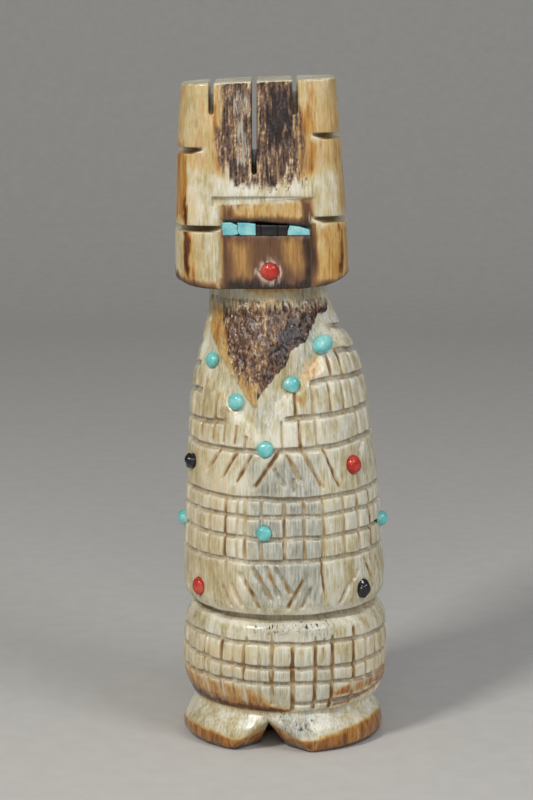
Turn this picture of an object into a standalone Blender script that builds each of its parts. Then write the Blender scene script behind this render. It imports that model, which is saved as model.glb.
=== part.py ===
"""A small standing maiden, carved from one section of antler and set with little stones.

A square head wears a slotted head-board. The robe and the skirt are scored with rings, upright cuts
and slanted cuts, and two feet flare at the floor. Turquoise, coral and jet stones sit in blind
pockets, and a band of stones fills the sawn eye channel.

Metres, +Z up. The figure faces -Y, and the viewer's right is +X. The origin is on the floor, in the
middle of the figure. An angle round the figure is in degrees: 0 is the front, 90 the viewer's right
and 180 the back.
"""

import math

import bmesh
import bpy
import numpy as np
from mathutils import Matrix, Vector

MM = 0.001

# Height of the figure. The carving is laid out in eightieths of it, one millimetre each at full size.
FIGURE_HEIGHT = 80.0 * MM
UNIT = FIGURE_HEIGHT / 80.0

# Saw and file work, as real sizes
RING_WIDTH = 0.5 * MM
RING_DEPTH = 0.4 * MM
HEM_CUT_WIDTH = 0.8 * MM
HEM_CUT_DEPTH = 0.9 * MM
CUT_WIDTH = 0.42 * MM
CUT_DEPTH = 0.32 * MM
BOLD_CUT_WIDTH = 0.6 * MM
SLOT_WIDTH = 0.6 * MM
KERF_WIDTH = 0.5 * MM
CUTTER_LIFT = 0.5 * MM
SLOPE_STEP = 0.3 * MM
SLOPE_TURN = 2.0

# Stones, as real sizes
STONE_CLEARANCE = 0.05 * MM
STONE_SHANK = 0.8 * MM
STONE_SIDES = 10
MOUTH_DIAMETER = 1.9 * MM
EYE_CHANNEL_HEIGHT = 1.5 * MM
EYE_CHANNEL_DEPTH = 1.2 * MM
EYE_STONE_PROUD = 0.1 * MM
EYE_STONE_GAP = 0.1 * MM
EYE_STONE_BEVEL = 0.12 * MM

# Columns of the surface mesh: finer in front, where the carving shows
FRONT_COLUMNS = 22
BACK_COLUMNS = 9

# Heights of the plain rows of that mesh, in units, between the rows that the rings bring
FEET_ROWS = (0.0, 0.7, 1.6, 2.7, 3.7, 4.7)
SKIRT_TOP_ROW = 15.2
ROBE_FOOT_ROWS = (18.4, 21.0)
UPPER_BAND_ROW = 34.2
NECK_ROWS = (52.4, 54.3)
HEAD_ROWS = (58.5, 66.0, 73.0)

# Outline of the body: height, left edge, right edge, front and back, in units
BODY_OUTLINE = (
    (0.0, -11.2, 11.4, -10.3, 10.3),
    (0.7, -12.0, 12.2, -10.9, 10.9),
    (1.6, -12.1, 12.3, -11.0, 11.0),
    (2.7, -11.8, 12.1, -10.7, 10.7),
    (3.7, -11.2, 11.6, -10.1, 10.1),
    (4.7, -10.8, 11.2, -9.7, 9.7),
    (5.4, -10.9, 11.7, -10.0, 9.9),
    (6.8, -11.6, 12.4, -10.7, 10.6),
    (8.6, -12.1, 12.8, -11.0, 11.0),
    (11.3, -12.15, 12.8, -11.1, 11.1),
    (13.9, -11.9, 12.75, -11.0, 11.0),
    (15.3, -11.6, 12.5, -10.8, 10.8),
    (16.4, -11.0, 11.8, -10.2, 10.2),
    (17.4, -11.5, 11.7, -10.4, 10.4),
    (18.4, -11.95, 12.3, -10.8, 10.9),
    (21.0, -12.0, 12.4, -11.0, 11.0),
    (25.0, -12.0, 12.1, -10.9, 11.0),
    (30.9, -11.7, 11.7, -10.6, 10.8),
    (36.8, -11.45, 10.9, -10.1, 10.5),
    (41.7, -11.2, 10.3, -9.5, 10.1),
    (45.6, -10.55, 9.5, -8.9, 9.5),
    (48.5, -9.7, 8.4, -8.3, 8.8),
    (50.4, -9.3, 7.0, -7.7, 8.1),
    (52.4, -8.85, 6.0, -7.0, 7.4),
    (54.3, -8.8, 5.3, -6.6, 7.0),
    (56.5, -8.8, 5.3, -6.6, 7.0),
)

# Outline of the head in the same form, from the jaw to the crown
HEAD_OUTLINE = (
    (55.5, -12.5, 7.4, -8.5, 8.1),
    (57.0, -12.75, 7.8, -8.6, 8.3),
    (61.0, -12.75, 7.7, -8.6, 8.4),
    (66.0, -12.6, 7.3, -8.4, 8.3),
    (71.0, -12.5, 6.9, -8.2, 8.1),
    (75.0, -12.3, 6.6, -8.0, 7.9),
    (80.0, -11.9, 6.1, -7.8, 7.7),
)
HEAD_FRONT_SQUARENESS = 5.0
HEAD_BACK_SQUARENESS = 2.8

# Rings cut round the body: height in front, at the left and at the right in units, then the
# angles from which and to which the ring is cut, going round by the back
FULL_TURN = (0.0, 360.0)
SKIRT_RINGS = (
    (6.1, 6.3, 6.8, (2.0, 150.0)),
    (8.75, 9.05, 8.7, FULL_TURN),
    (10.65, 11.7, 11.2, FULL_TURN),
    (13.65, 14.0, 13.9, FULL_TURN),
)
HEM_RING = (16.5, 16.9, 17.1, FULL_TURN)
BAND_RINGS = (
    (23.6, 23.9, 24.3, FULL_TURN),
    (26.35, 26.85, 26.95, FULL_TURN),
    (28.9, 29.2, 29.5, FULL_TURN),
    (31.0, 31.4, 31.7, FULL_TURN),
)
YOKE_RING = (36.7, 37.15, 38.0, FULL_TURN)
CHEST_RINGS = (
    (40.3, 39.5, 41.1, (2.0, 323.0)),
    (44.3, 42.7, 44.7, (20.0, 300.0)),
    (47.7, 45.7, 47.5, (45.0, 290.0)),
    (50.6, 48.2, 50.1, (62.0, 280.0)),
)

# Upright cuts, in degrees round the figure. Those of the skirt run down to its foot.
SKIRT_FOOT = 5.9 * UNIT
SKIRT_CUTS = (-74, -63, -53, -49, -39, -31, -24.5, -15, -8, 3.7, 16.6, 27, 41.7, 51.7, 61.3, 72, 84)
BAND_CUTS = (-75, -61, -48.5, -36, -28, -23, -13, 0.4, 12, 24, 38, 49.5, 62, 70, 83)
CHEST_CUTS = (
    (1, 12, 23, 58, 70),
    (10, 22, 35, 46, 56, 66, 80),
    (38.5, 49, 62, 78),
)
LEFT_CHEST_CUTS = (
    (-57, 44.8, -59, 37.3),
    (-44, 43.4, -47, 37.2),
    (-36.5, 40.4, -38, 37.2),
    (-28, 39.6, -30, 37.1),
    (-21.5, 38.4, -23, 36.9),
    (-70, 44.5, -71, 37.3),
)
BACK_CUT_START = 99.0
BACK_CUT_END = 261.0
BACK_CUT_STEP = 27.0

# Slanted cuts: angle and share of the band at the upper end, then the same at the lower end
UPPER_SLANTS = (
    (-41, 0.0, -53, 0.6),
    (-28, 0.03, -41, 0.85),
    (-18, 0.05, -29, 0.7),
    (-6, 0.3, 1, 0.85),
    (4, 0.1, 13, 0.85),
    (14, 0.05, 24, 0.9),
    (26, 0.05, 37, 0.97),
    (63, 0.1, 55, 0.4),
)
UPPER_BOLD_SLANTS = ((0, 0.0, -18, 1.0),)
LOWER_SLANTS = (
    (-37, 0.05, -34, 0.45),
    (-30, 0.5, -24, 0.95),
    (-21, 0.5, -13, 0.95),
    (-14, 0.05, -4, 0.95),
    (-5, 0.05, 3, 0.7),
    (14, 0.25, 1, 0.95),
    (16, 0.5, 10, 0.95),
    (38, 0.3, 30, 0.95),
    (66, 0.0, 74, 0.6),
)
LOWER_BOLD_SLANTS = ((52, 0.0, 63, 0.75),)
BACK_SLANT_STEP = 23.0
BACK_SLANT_LEAN = 9.0

# Collar: two arms of a shallow channel round the open chest, as angle and height, and the places
# across the channel where its round bottom is drawn
COLLAR_WIDTH = 4.6 * UNIT
COLLAR_DEPTH = 0.45 * UNIT
COLLAR_PLACES = (-0.5, -0.2, 0.2, 0.5)
COLLAR_MOUTH = 0.6
COLLAR_LIFT = 1.0 * UNIT
COLLAR_RIGHT_ARM = ((62, 52.0), (40, 49.2), (22, 46.6), (6, 43.9), (-7, 41.2))
COLLAR_LEFT_ARM = ((-80, 49.6), (-60, 47.2), (-42, 44.6), (-27, 41.6), (-12, 38.2))

# Head-board: slots sawn down from the crown, as place across, depth in front and depth behind
CROWN_HEIGHT = 79.6 * UNIT
CROWN_SLOPE = 0.042
CROWN_MIDDLE = -2.9 * UNIT
CROWN_ROUNDING = 0.35 * UNIT
SLOT_REACH = 10.0 * UNIT
SLOT_TOP = CROWN_HEIGHT + 2.0 * UNIT
SLOT_SIDES = 4
SLOTS = (
    (-8.35, 3.9, 1.5),
    (-3.4, 10.9, 8.6),
    (1.35, 4.3, 1.6),
)

# Kerfs sawn level across the corners of the head: height, where the cut leaves the front, where it
# ends on the side as distance across and distance back. The cutter runs on past both ends.
KERF_FRONT = -8.1
KERF_OVERRUN_FRONT = 1.0 * UNIT
KERF_OVERRUN_SIDE = 3.0 * UNIT
KERF_OUT = (9.0, -4.0)
CORNER_KERFS = (
    (71.8, -9.3, -11.6, 5.0),
    (73.5, 3.3, 6.2, 5.0),
    (62.8, -7.0, -11.8, 5.0),
    (63.85, 3.5, 7.0, 5.0),
)

# Face: a panel let into the front, with its edges chamfered
FACE_LEFT = -7.15 * UNIT
FACE_RIGHT = 3.65 * UNIT
FACE_TOP = 65.75 * UNIT
FACE_FOOT = 54.0 * UNIT
FACE_OUTSIDE = -11.0 * UNIT
FACE_RECESS = 0.45 * UNIT
FACE_CHAMFER = 0.7 * UNIT
BROW_KERF_LEFT = -8.3 * UNIT
EYE_CHANNEL_BOTTOM = 61.85 * UNIT
MOUTH_PLACE = (-1.55 * UNIT, 57.8 * UNIT)
JAW_HEIGHT = 55.6 * UNIT
JAW_SIDE_RISE = 1.3 * UNIT
JAW_LEAN = 0.25 * UNIT
JAW_ROUNDING = 0.35 * UNIT
JAW_UNDERSIDE = 0.1 * UNIT

# Feet: a gouge in front parts the toes, and a notch runs back from it under the figure
GOUGE_MIDDLE = -1.7 * UNIT
GOUGE_DEPTH = 5.2 * UNIT
GOUGE_HEIGHT = 4.3 * UNIT
GOUGE_FLARE = 1.05
NOTCH_LEFT = -3.4 * UNIT
NOTCH_RIGHT = 1.6 * UNIT
NOTCH_HEIGHT = 3.8 * UNIT
NOTCH_BACK = -1.0 * UNIT
NOTCH_BACK_HEIGHT = 1.2 * UNIT
FOOT_CUT_FRONT = -14.0 * UNIT
FOOT_CUT_BOTTOM = -1.0 * UNIT

# Round stones: name, angle, height in units, width and height in mm, turn in degrees, material, and
# how far the stone is sunk, as a share of the collar's depth
ROUND_STONES = (
    ("turquoise_collar_left", -55.8, 46.8, 1.8, 1.8, 0, "turquoise", 0.5),
    ("turquoise_shoulder_right", 37.5, 48.9, 2.7, 2.0, 30, "turquoise", 0.6),
    ("turquoise_yoke_left", -29.2, 42.3, 1.9, 1.9, 0, "turquoise", 0.6),
    ("turquoise_yoke_right", 8.6, 44.5, 1.9, 1.9, 0, "turquoise", 0.7),
    ("turquoise_chest", -9.5, 36.9, 1.9, 1.9, 0, "turquoise", 0),
    ("turquoise_belly", -11.0, 27.0, 1.8, 1.8, 0, "turquoise", 0),
    ("turquoise_side_left", -84.0, 26.9, 1.8, 1.8, 0, "turquoise", 0),
    ("turquoise_side_right", 81.0, 26.9, 1.8, 1.8, 0, "turquoise", 0),
    ("coral_chest_right", 48.6, 34.5, 2.1, 2.2, 0, "coral", 0),
    ("coral_hip_left", -57.2, 19.5, 1.9, 2.1, 0, "coral", 0),
    ("jet_side_left", -68.4, 34.4, 1.6, 1.7, 0, "jet", 0),
    ("jet_hip_right", 50.5, 19.5, 1.6, 2.2, 0, "jet", 0),
)
# Height of a dome as a share of the stone's size, and the dome's rings as shares of its height and width
DOME_SHARE = 0.32
DOME_RINGS = ((0.62, 0.8), (1.0, 0.38))

# Eye band, laid side by side from the left edge of the face: name, width in mm, material
EYE_STONES = (
    ("eye_turquoise_outer_left", 1.85, "turquoise"),
    ("eye_turquoise_inner_left", 1.95, "turquoise"),
    ("eye_jet", 3.7, "jet"),
    ("eye_turquoise_right", 2.6, "turquoise"),
)

MATERIALS = {
    "antler": ((0.62, 0.52, 0.37), 0.35),
    "turquoise": ((0.13, 0.52, 0.53), 0.25),
    "coral": ((0.55, 0.03, 0.02), 0.25),
    "jet": ((0.01, 0.01, 0.012), 0.15),
}


def clear_scene():
    for thing in list(bpy.data.objects):
        bpy.data.objects.remove(thing)


def make_material(name, finish):
    colour, roughness = MATERIALS[finish]
    material = bpy.data.materials.new(name)
    material.use_nodes = True
    shader = material.node_tree.nodes["Principled BSDF"]
    shader.inputs["Base Color"].default_value = (*colour, 1.0)
    shader.inputs["Roughness"].default_value = roughness
    shader.inputs["Metallic"].default_value = 0.0
    return material


def add_object(name, vertices, faces, finish=None):
    """A mesh object from points and faces. Without a finish it is a cutter, kept out of renders."""
    mesh = bpy.data.meshes.new(name)
    mesh.from_pydata([tuple(point) for point in vertices], [], faces)
    work = bmesh.new()
    work.from_mesh(mesh)
    bmesh.ops.recalc_face_normals(work, faces=work.faces)
    work.to_mesh(mesh)
    work.free()
    thing = bpy.data.objects.new(name, mesh)
    bpy.context.scene.collection.objects.link(thing)
    if finish:
        mesh.materials.append(make_material(name, finish))
    else:
        thing.hide_render = True
        thing.display_type = "WIRE"
    return thing


def cut_with(thing, cutter):
    cut = thing.modifiers.new(cutter.name, "BOOLEAN")
    cut.operation = "DIFFERENCE"
    cut.solver = "EXACT"
    cut.object = cutter


def outline_at(outline, height):
    """Centre and half size across and in depth at a height, read from an outline."""
    table = np.array(outline) * UNIT
    left, right, front, back = (np.interp(height, table[:, 0], table[:, side]) for side in (1, 2, 3, 4))
    return (left + right) / 2, (right - left) / 2, (front + back) / 2, (back - front) / 2


def body_point(angle, height, lift=0.0):
    """A point of the robe, the skirt or the feet, lifted off the surface or sunk into it."""
    middle, half_width, centre, half_depth = outline_at(BODY_OUTLINE, height)
    turn = math.radians(angle)
    across = middle + (half_width + lift) * math.sin(turn)
    deep = centre - (half_depth + lift) * math.cos(turn)
    return Vector((across, deep, height))


def body_normal(angle, height):
    """The outward direction of the body's surface, from its slope either way."""
    round_way = body_point(angle + SLOPE_TURN, height) - body_point(angle - SLOPE_TURN, height)
    up_way = body_point(angle, height + SLOPE_STEP) - body_point(angle, height - SLOPE_STEP)
    return round_way.cross(up_way).normalized()


def head_point(angle, height, lift=0.0):
    """A point of the head, which is square in front and rounder behind."""
    middle, half_width, centre, half_depth = outline_at(HEAD_OUTLINE, height)
    turn = math.radians(angle)
    sine = math.sin(turn)
    cosine = math.cos(turn)
    power = 2.0 / (HEAD_FRONT_SQUARENESS if cosine > 0 else HEAD_BACK_SQUARENESS)
    across = middle + (half_width + lift) * math.copysign(abs(sine) ** power, sine)
    deep = centre - (half_depth + lift) * math.copysign(abs(cosine) ** power, cosine)
    return Vector((across, deep, height))


def head_front(height):
    """How far forward the front of the head stands."""
    _, _, centre, half_depth = outline_at(HEAD_OUTLINE, height)
    return centre - half_depth


def ring_height(ring, angle):
    """Height of a ring at an angle: it tilts from left to right and sags or lifts in front."""
    front, left, right = (UNIT * value for value in ring[:3])
    turn = math.radians(angle)
    sides = (left + right) / 2
    return sides + (right - left) / 2 * math.sin(turn) + (front - sides) * max(math.cos(turn), 0.0)


def ring_depth(ring, angle, depth):
    """Depth of a ring at an angle: none outside the stretch where it is cut."""
    start, end = ring[3]
    return depth if start <= angle % 360.0 <= end else 0.0


def column_angles():
    """Angles of the mesh's columns, once round from the front."""
    front_step = 180.0 / FRONT_COLUMNS
    back_step = 180.0 / BACK_COLUMNS
    right = [front_step * index for index in range(FRONT_COLUMNS // 2)]
    back = [90.0 + back_step * index for index in range(BACK_COLUMNS)]
    left = [270.0 + front_step * index for index in range(FRONT_COLUMNS // 2)]
    return right + back + left


def crown_height(across):
    return CROWN_HEIGHT + CROWN_SLOPE * (across - CROWN_MIDDLE)


def jaw_height(angle):
    """Height of the jaw's edge: it rises to both sides, and further at the right."""
    sine = math.sin(math.radians(angle))
    return JAW_HEIGHT + JAW_SIDE_RISE * sine ** 2 + JAW_LEAN * sine


def plain_row(height, angles):
    return [body_point(angle, height * UNIT) for angle in angles]


def ring_rows(ring, width, depth, angles):
    """Three rows of points: the lower lip, the bottom and the upper lip of a ring's groove."""
    lower, bottom, upper = [], [], []
    for angle in angles:
        middle = ring_height(ring, angle)
        lower.append(body_point(angle, middle - width / 2))
        bottom.append(body_point(angle, middle, -ring_depth(ring, angle, depth)))
        upper.append(body_point(angle, middle + width / 2))
    return [lower, bottom, upper]


def body_rows(angles):
    """Rows of points from the sole to the neck."""
    rows = [plain_row(height, angles) for height in FEET_ROWS]
    for ring in SKIRT_RINGS:
        rows += ring_rows(ring, RING_WIDTH, RING_DEPTH, angles)
    rows.append(plain_row(SKIRT_TOP_ROW, angles))
    rows += ring_rows(HEM_RING, HEM_CUT_WIDTH, HEM_CUT_DEPTH, angles)
    rows += [plain_row(height, angles) for height in ROBE_FOOT_ROWS]
    for ring in BAND_RINGS:
        rows += ring_rows(ring, RING_WIDTH, RING_DEPTH, angles)
    rows.append(plain_row(UPPER_BAND_ROW, angles))
    rows += ring_rows(YOKE_RING, RING_WIDTH, RING_DEPTH, angles)
    for ring in CHEST_RINGS:
        rows += ring_rows(ring, RING_WIDTH, RING_DEPTH, angles)
    rows += [plain_row(height, angles) for height in NECK_ROWS]
    return rows


def head_rows(angles):
    """Rows of points from the neck under the jaw to the crown."""
    rows = [[body_point(angle, jaw_height(angle) - JAW_UNDERSIDE) for angle in angles]]
    rows.append([head_point(angle, jaw_height(angle), -JAW_ROUNDING) for angle in angles])
    rows.append([head_point(angle, jaw_height(angle) + JAW_ROUNDING) for angle in angles])
    rows += [[head_point(angle, height * UNIT) for angle in angles] for height in HEAD_ROWS]
    edge = [head_point(angle, CROWN_HEIGHT) for angle in angles]
    for point in edge:
        point.z = crown_height(point.x) - CROWN_ROUNDING
    top = [head_point(angle, CROWN_HEIGHT, -CROWN_ROUNDING) for angle in angles]
    for point in top:
        point.z = crown_height(point.x)
    return rows + [edge, top]


def make_blank():
    """The antler blank with its rings, as one closed surface of stacked rows."""
    angles = column_angles()
    rows = body_rows(angles) + head_rows(angles)
    count = len(angles)
    vertices = [point for row in rows for point in row]
    faces = []
    for level in range(len(rows) - 1):
        for column in range(count):
            beside = (column + 1) % count
            faces.append((
                level * count + column,
                level * count + beside,
                (level + 1) * count + beside,
                (level + 1) * count + column,
            ))
    faces.append(tuple(range(count)))
    faces.append(tuple(range(len(vertices) - count, len(vertices))))
    return add_object("carving", vertices, faces, "antler")


class Cutter:
    """Several closed bodies gathered into one cutting object."""

    def __init__(self, name):
        self.name = name
        self.vertices = []
        self.faces = []

    def add(self, vertices, faces):
        base = len(self.vertices)
        self.vertices += vertices
        self.faces += [tuple(base + corner for corner in face) for face in faces]

    def sweep(self, sections):
        """A closed body through sections that all have the same number of points."""
        count = len(sections[0])
        faces = [tuple(range(count))]
        for level in range(len(sections) - 1):
            for side in range(count):
                beside = (side + 1) % count
                low = level * count
                faces.append((low + side, low + beside, low + count + beside, low + count + side))
        faces.append(tuple(range((len(sections) - 1) * count, len(sections) * count)))
        self.add([point for section in sections for point in section], faces)

    def finish(self):
        return add_object(self.name, self.vertices, self.faces)


def score(cutter, path, width, depth):
    """A V-shaped cut along a path of angles and heights on the body."""
    points = [body_point(angle, height) for angle, height in path]
    sections = []
    for index, (angle, height) in enumerate(path):
        before = points[max(index - 1, 0)]
        after = points[min(index + 1, len(path) - 1)]
        normal = body_normal(angle, height)
        side = normal.cross(after - before).normalized()
        reach = width / 2 * (depth + CUTTER_LIFT) / depth
        top = points[index] + normal * CUTTER_LIFT
        bottom = points[index] - normal * depth
        sections.append([bottom, top + side * reach, top - side * reach])
    cutter.sweep(sections)


def between(lower_ring, upper_ring, angle, share):
    """Height at a share of the way down from the upper ring to the lower one."""
    upper = ring_height(upper_ring, angle)
    lower = ring_height(lower_ring, angle)
    return upper + (lower - upper) * share


def back_angles(step):
    count = int(round((BACK_CUT_END - BACK_CUT_START) / step))
    return [BACK_CUT_START + (BACK_CUT_END - BACK_CUT_START) * index / count for index in range(count + 1)]


def make_upright_cuts():
    """Upright cuts of the skirt, the band and the chest, in front and plainer behind."""
    cutter = Cutter("upright_cuts")
    for angle in list(SKIRT_CUTS) + back_angles(BACK_CUT_STEP):
        top = ring_height(SKIRT_RINGS[-1], angle)
        middle = (top + SKIRT_FOOT) / 2
        score(cutter, [(angle, SKIRT_FOOT), (angle, middle), (angle, top)], CUT_WIDTH, CUT_DEPTH)
    for angle in list(BAND_CUTS) + back_angles(BACK_CUT_STEP):
        low = ring_height(BAND_RINGS[0], angle)
        top = ring_height(BAND_RINGS[-1], angle)
        score(cutter, [(angle, low), (angle, top)], CUT_WIDTH, CUT_DEPTH)
    rings = (YOKE_RING, *CHEST_RINGS)
    for level, angles in enumerate(CHEST_CUTS):
        for angle in angles:
            low = ring_height(rings[level], angle)
            top = ring_height(rings[level + 1], angle)
            score(cutter, [(angle, low), (angle, top)], CUT_WIDTH, CUT_DEPTH)
    for top_angle, top, low_angle, low in LEFT_CHEST_CUTS:
        score(cutter, [(low_angle, low * UNIT), (top_angle, top * UNIT)], CUT_WIDTH, CUT_DEPTH)
    return cutter.finish()


def slant(cutter, rings, cut, width):
    top_angle, top_share, low_angle, low_share = cut
    middle_angle = (top_angle + low_angle) / 2
    path = [
        (low_angle, between(*rings, low_angle, low_share)),
        (middle_angle, between(*rings, middle_angle, (top_share + low_share) / 2)),
        (top_angle, between(*rings, top_angle, top_share)),
    ]
    score(cutter, path, width, CUT_DEPTH)


def make_slanted_cuts():
    """Two bands of slanted cuts: peaks above the girdle band and valleys below it."""
    upper = (BAND_RINGS[-1], YOKE_RING)
    lower = (HEM_RING, BAND_RINGS[0])
    fine = Cutter("slanted_cuts")
    for cut in UPPER_SLANTS:
        slant(fine, upper, cut, CUT_WIDTH)
    for cut in LOWER_SLANTS:
        slant(fine, lower, cut, CUT_WIDTH)
    for index, angle in enumerate(back_angles(BACK_SLANT_STEP)):
        lean = BACK_SLANT_LEAN if index % 2 else -BACK_SLANT_LEAN
        slant(fine, upper, (angle - lean / 2, 0.1, angle + lean / 2, 0.9), CUT_WIDTH)
        slant(fine, lower, (angle - lean / 2, 0.1, angle + lean / 2, 0.85), CUT_WIDTH)
    bold = Cutter("bold_cuts")
    for cut in UPPER_BOLD_SLANTS:
        slant(bold, upper, cut, BOLD_CUT_WIDTH)
    for cut in LOWER_BOLD_SLANTS:
        slant(bold, lower, cut, BOLD_CUT_WIDTH)
    return [fine.finish(), bold.finish()]


def make_collar_arm(name, arm):
    """A shallow round-bottomed channel along one arm of the collar."""
    cutter = Cutter(name)
    sections = []
    points = [body_point(angle, height * UNIT) for angle, height in arm]
    for index, (angle, height) in enumerate(arm):
        before = points[max(index - 1, 0)]
        after = points[min(index + 1, len(arm) - 1)]
        normal = body_normal(angle, height * UNIT)
        side = normal.cross(after - before).normalized()
        section = []
        for share in COLLAR_PLACES:
            sink = COLLAR_DEPTH * (1.0 - (2.0 * share) ** 2)
            section.append(points[index] + side * COLLAR_WIDTH * share - normal * sink)
        section.append(points[index] + side * COLLAR_WIDTH * COLLAR_MOUTH + normal * COLLAR_LIFT)
        section.append(points[index] - side * COLLAR_WIDTH * COLLAR_MOUTH + normal * COLLAR_LIFT)
        sections.append(section)
    cutter.sweep(sections)
    return cutter.finish()


def make_slots():
    """The three slots of the head-board, deeper in front than behind, with round bottoms."""
    cutter = Cutter("crown_slots")
    for across, front_depth, back_depth in SLOTS:
        middle = across * UNIT
        crown = crown_height(middle)
        sections = []
        for deep, depth in ((-SLOT_REACH, front_depth * UNIT), (SLOT_REACH, back_depth * UNIT)):
            centre = crown - depth + SLOT_WIDTH / 2
            section = [Vector((middle - SLOT_WIDTH / 2, deep, SLOT_TOP))]
            for step in range(SLOT_SIDES + 1):
                turn = math.pi + math.pi * step / SLOT_SIDES
                section.append(Vector((
                    middle + SLOT_WIDTH / 2 * math.cos(turn),
                    deep,
                    centre + SLOT_WIDTH / 2 * math.sin(turn),
                )))
            section.append(Vector((middle + SLOT_WIDTH / 2, deep, SLOT_TOP)))
            sections.append(section)
        cutter.sweep(sections)
    return cutter.finish()


def slab(cutter, corners, low, high):
    """An upright prism over corners given as places across and in depth."""
    cutter.sweep([[Vector((*corner, height)) for corner in corners] for height in (low, high)])


def make_corner_kerfs():
    """Level saw cuts across the corners of the head."""
    cutter = Cutter("corner_kerfs")
    for height, front_across, side_across, side_back in CORNER_KERFS:
        outward = -1.0 if side_across < front_across else 1.0
        start = Vector((front_across, KERF_FRONT)) * UNIT
        end = Vector((side_across, side_back)) * UNIT
        along = (end - start).normalized()
        start -= along * KERF_OVERRUN_FRONT
        end += along * KERF_OVERRUN_SIDE
        out = Vector((outward * KERF_OUT[0], KERF_OUT[1])) * UNIT
        corners = [start, end, end + out, start + out]
        slab(cutter, corners, height * UNIT - KERF_WIDTH / 2, height * UNIT + KERF_WIDTH / 2)
    return cutter.finish()


def face_floor(height):
    """How far forward the let-in face stands."""
    return head_front(height) + FACE_RECESS


def make_face_panel():
    """The let-in face with chamfered sides, and the kerf above its brow."""
    panel = Cutter("face_panel")
    sections = []
    for height in (FACE_FOOT, FACE_TOP):
        floor = face_floor(height)
        spread = FACE_CHAMFER * (floor - FACE_OUTSIDE) / FACE_RECESS
        sections.append([
            Vector((FACE_LEFT, floor, height)),
            Vector((FACE_RIGHT, floor, height)),
            Vector((FACE_RIGHT + spread, FACE_OUTSIDE, height)),
            Vector((FACE_LEFT - spread, FACE_OUTSIDE, height)),
        ])
    panel.sweep(sections)
    brow = Cutter("brow_kerf")
    back = face_floor(FACE_TOP) + FACE_RECESS
    corners = [
        (BROW_KERF_LEFT, back),
        (FACE_RIGHT, back),
        (FACE_RIGHT, FACE_OUTSIDE),
        (BROW_KERF_LEFT, FACE_OUTSIDE),
    ]
    slab(brow, corners, FACE_TOP - KERF_WIDTH / 5, FACE_TOP + KERF_WIDTH * 4 / 5)
    return [panel.finish(), brow.finish()]


def eye_places():
    """Left and right edge of each stone of the eye band."""
    places = []
    left = FACE_LEFT + STONE_CLEARANCE
    for _, width, _ in EYE_STONES:
        places.append((left, left + width * MM))
        left += width * MM + EYE_STONE_GAP
    return places


def eye_channel_floor():
    return face_floor(EYE_CHANNEL_BOTTOM + EYE_CHANNEL_HEIGHT / 2) + EYE_CHANNEL_DEPTH


def make_eye_channel():
    cutter = Cutter("eye_channel")
    floor = eye_channel_floor()
    left = eye_places()[0][0] - STONE_CLEARANCE
    right = eye_places()[-1][1] + STONE_CLEARANCE
    corners = [(left, floor), (right, floor), (right, FACE_OUTSIDE), (left, FACE_OUTSIDE)]
    slab(cutter, corners, EYE_CHANNEL_BOTTOM, EYE_CHANNEL_BOTTOM + EYE_CHANNEL_HEIGHT)
    return cutter.finish()


def make_foot_cuts():
    """The gouge that leaves the toes pointed, and the notch that runs back from it."""
    notch = Cutter("foot_notch")
    slope_left = (GOUGE_MIDDLE - NOTCH_LEFT) / NOTCH_HEIGHT
    slope_right = (NOTCH_RIGHT - GOUGE_MIDDLE) / NOTCH_HEIGHT
    sections = []
    for deep, height in ((FOOT_CUT_FRONT, NOTCH_HEIGHT), (NOTCH_BACK, NOTCH_BACK_HEIGHT)):
        reach = height - FOOT_CUT_BOTTOM
        sections.append([
            Vector((GOUGE_MIDDLE, deep, height)),
            Vector((GOUGE_MIDDLE + slope_right * reach, deep, FOOT_CUT_BOTTOM)),
            Vector((GOUGE_MIDDLE - slope_left * reach, deep, FOOT_CUT_BOTTOM)),
        ])
    notch.sweep(sections)
    gouge = Cutter("toe_gouge")
    sole = body_point(0.0, 0.0).y
    lean = GOUGE_DEPTH / GOUGE_HEIGHT
    sections = []
    for height in (FOOT_CUT_BOTTOM, GOUGE_HEIGHT):
        point = sole + lean * (GOUGE_HEIGHT - height)
        half = GOUGE_FLARE * (point - FOOT_CUT_FRONT)
        sections.append([
            Vector((GOUGE_MIDDLE, point, height)),
            Vector((GOUGE_MIDDLE + half, FOOT_CUT_FRONT, height)),
            Vector((GOUGE_MIDDLE - half, FOOT_CUT_FRONT, height)),
        ])
    gouge.sweep(sections)
    return [notch.finish(), gouge.finish()]


def stone_rows(width, height, dome, shank):
    """Rows of a domed stone that stands on z = 0 with its shank below."""
    rows = []
    levels = [(-shank, 1.0), (0.0, 1.0)] + [(dome * rise, share) for rise, share in DOME_RINGS]
    for level, share in levels:
        rows.append([
            Vector((
                width / 2 * share * math.cos(2 * math.pi * side / STONE_SIDES),
                height / 2 * share * math.sin(2 * math.pi * side / STONE_SIDES),
                level,
            ))
            for side in range(STONE_SIDES)
        ])
    return rows


def stone_frame(place, normal, turn):
    """Stands a stone on a place: its own z looks outward and its y upward."""
    across = Vector((0.0, 0.0, 1.0)).cross(normal).normalized()
    upward = normal.cross(across)
    frame = Matrix((across, upward, normal)).transposed().to_4x4()
    return Matrix.Translation(place) @ frame @ Matrix.Rotation(math.radians(turn), 4, "Z")


def set_stone(pockets, name, place, normal, size, turn, finish):
    """A domed stone in its own blind pocket."""
    width, height = size
    frame = stone_frame(place, normal, turn)
    dome = DOME_SHARE * min(width, height)
    stone = Cutter(name)
    stone.sweep([[frame @ point for point in row] for row in stone_rows(width, height, dome, STONE_SHANK)])
    add_object(name, stone.vertices, stone.faces, finish)
    wide = stone_rows(
        width + 2 * STONE_CLEARANCE,
        height + 2 * STONE_CLEARANCE,
        dome,
        STONE_SHANK + STONE_CLEARANCE,
    )
    mouth = [point + Vector((0.0, 0.0, 2 * CUTTER_LIFT)) for point in wide[1]]
    pockets.sweep([[frame @ point for point in row] for row in (wide[0], mouth)])


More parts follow.
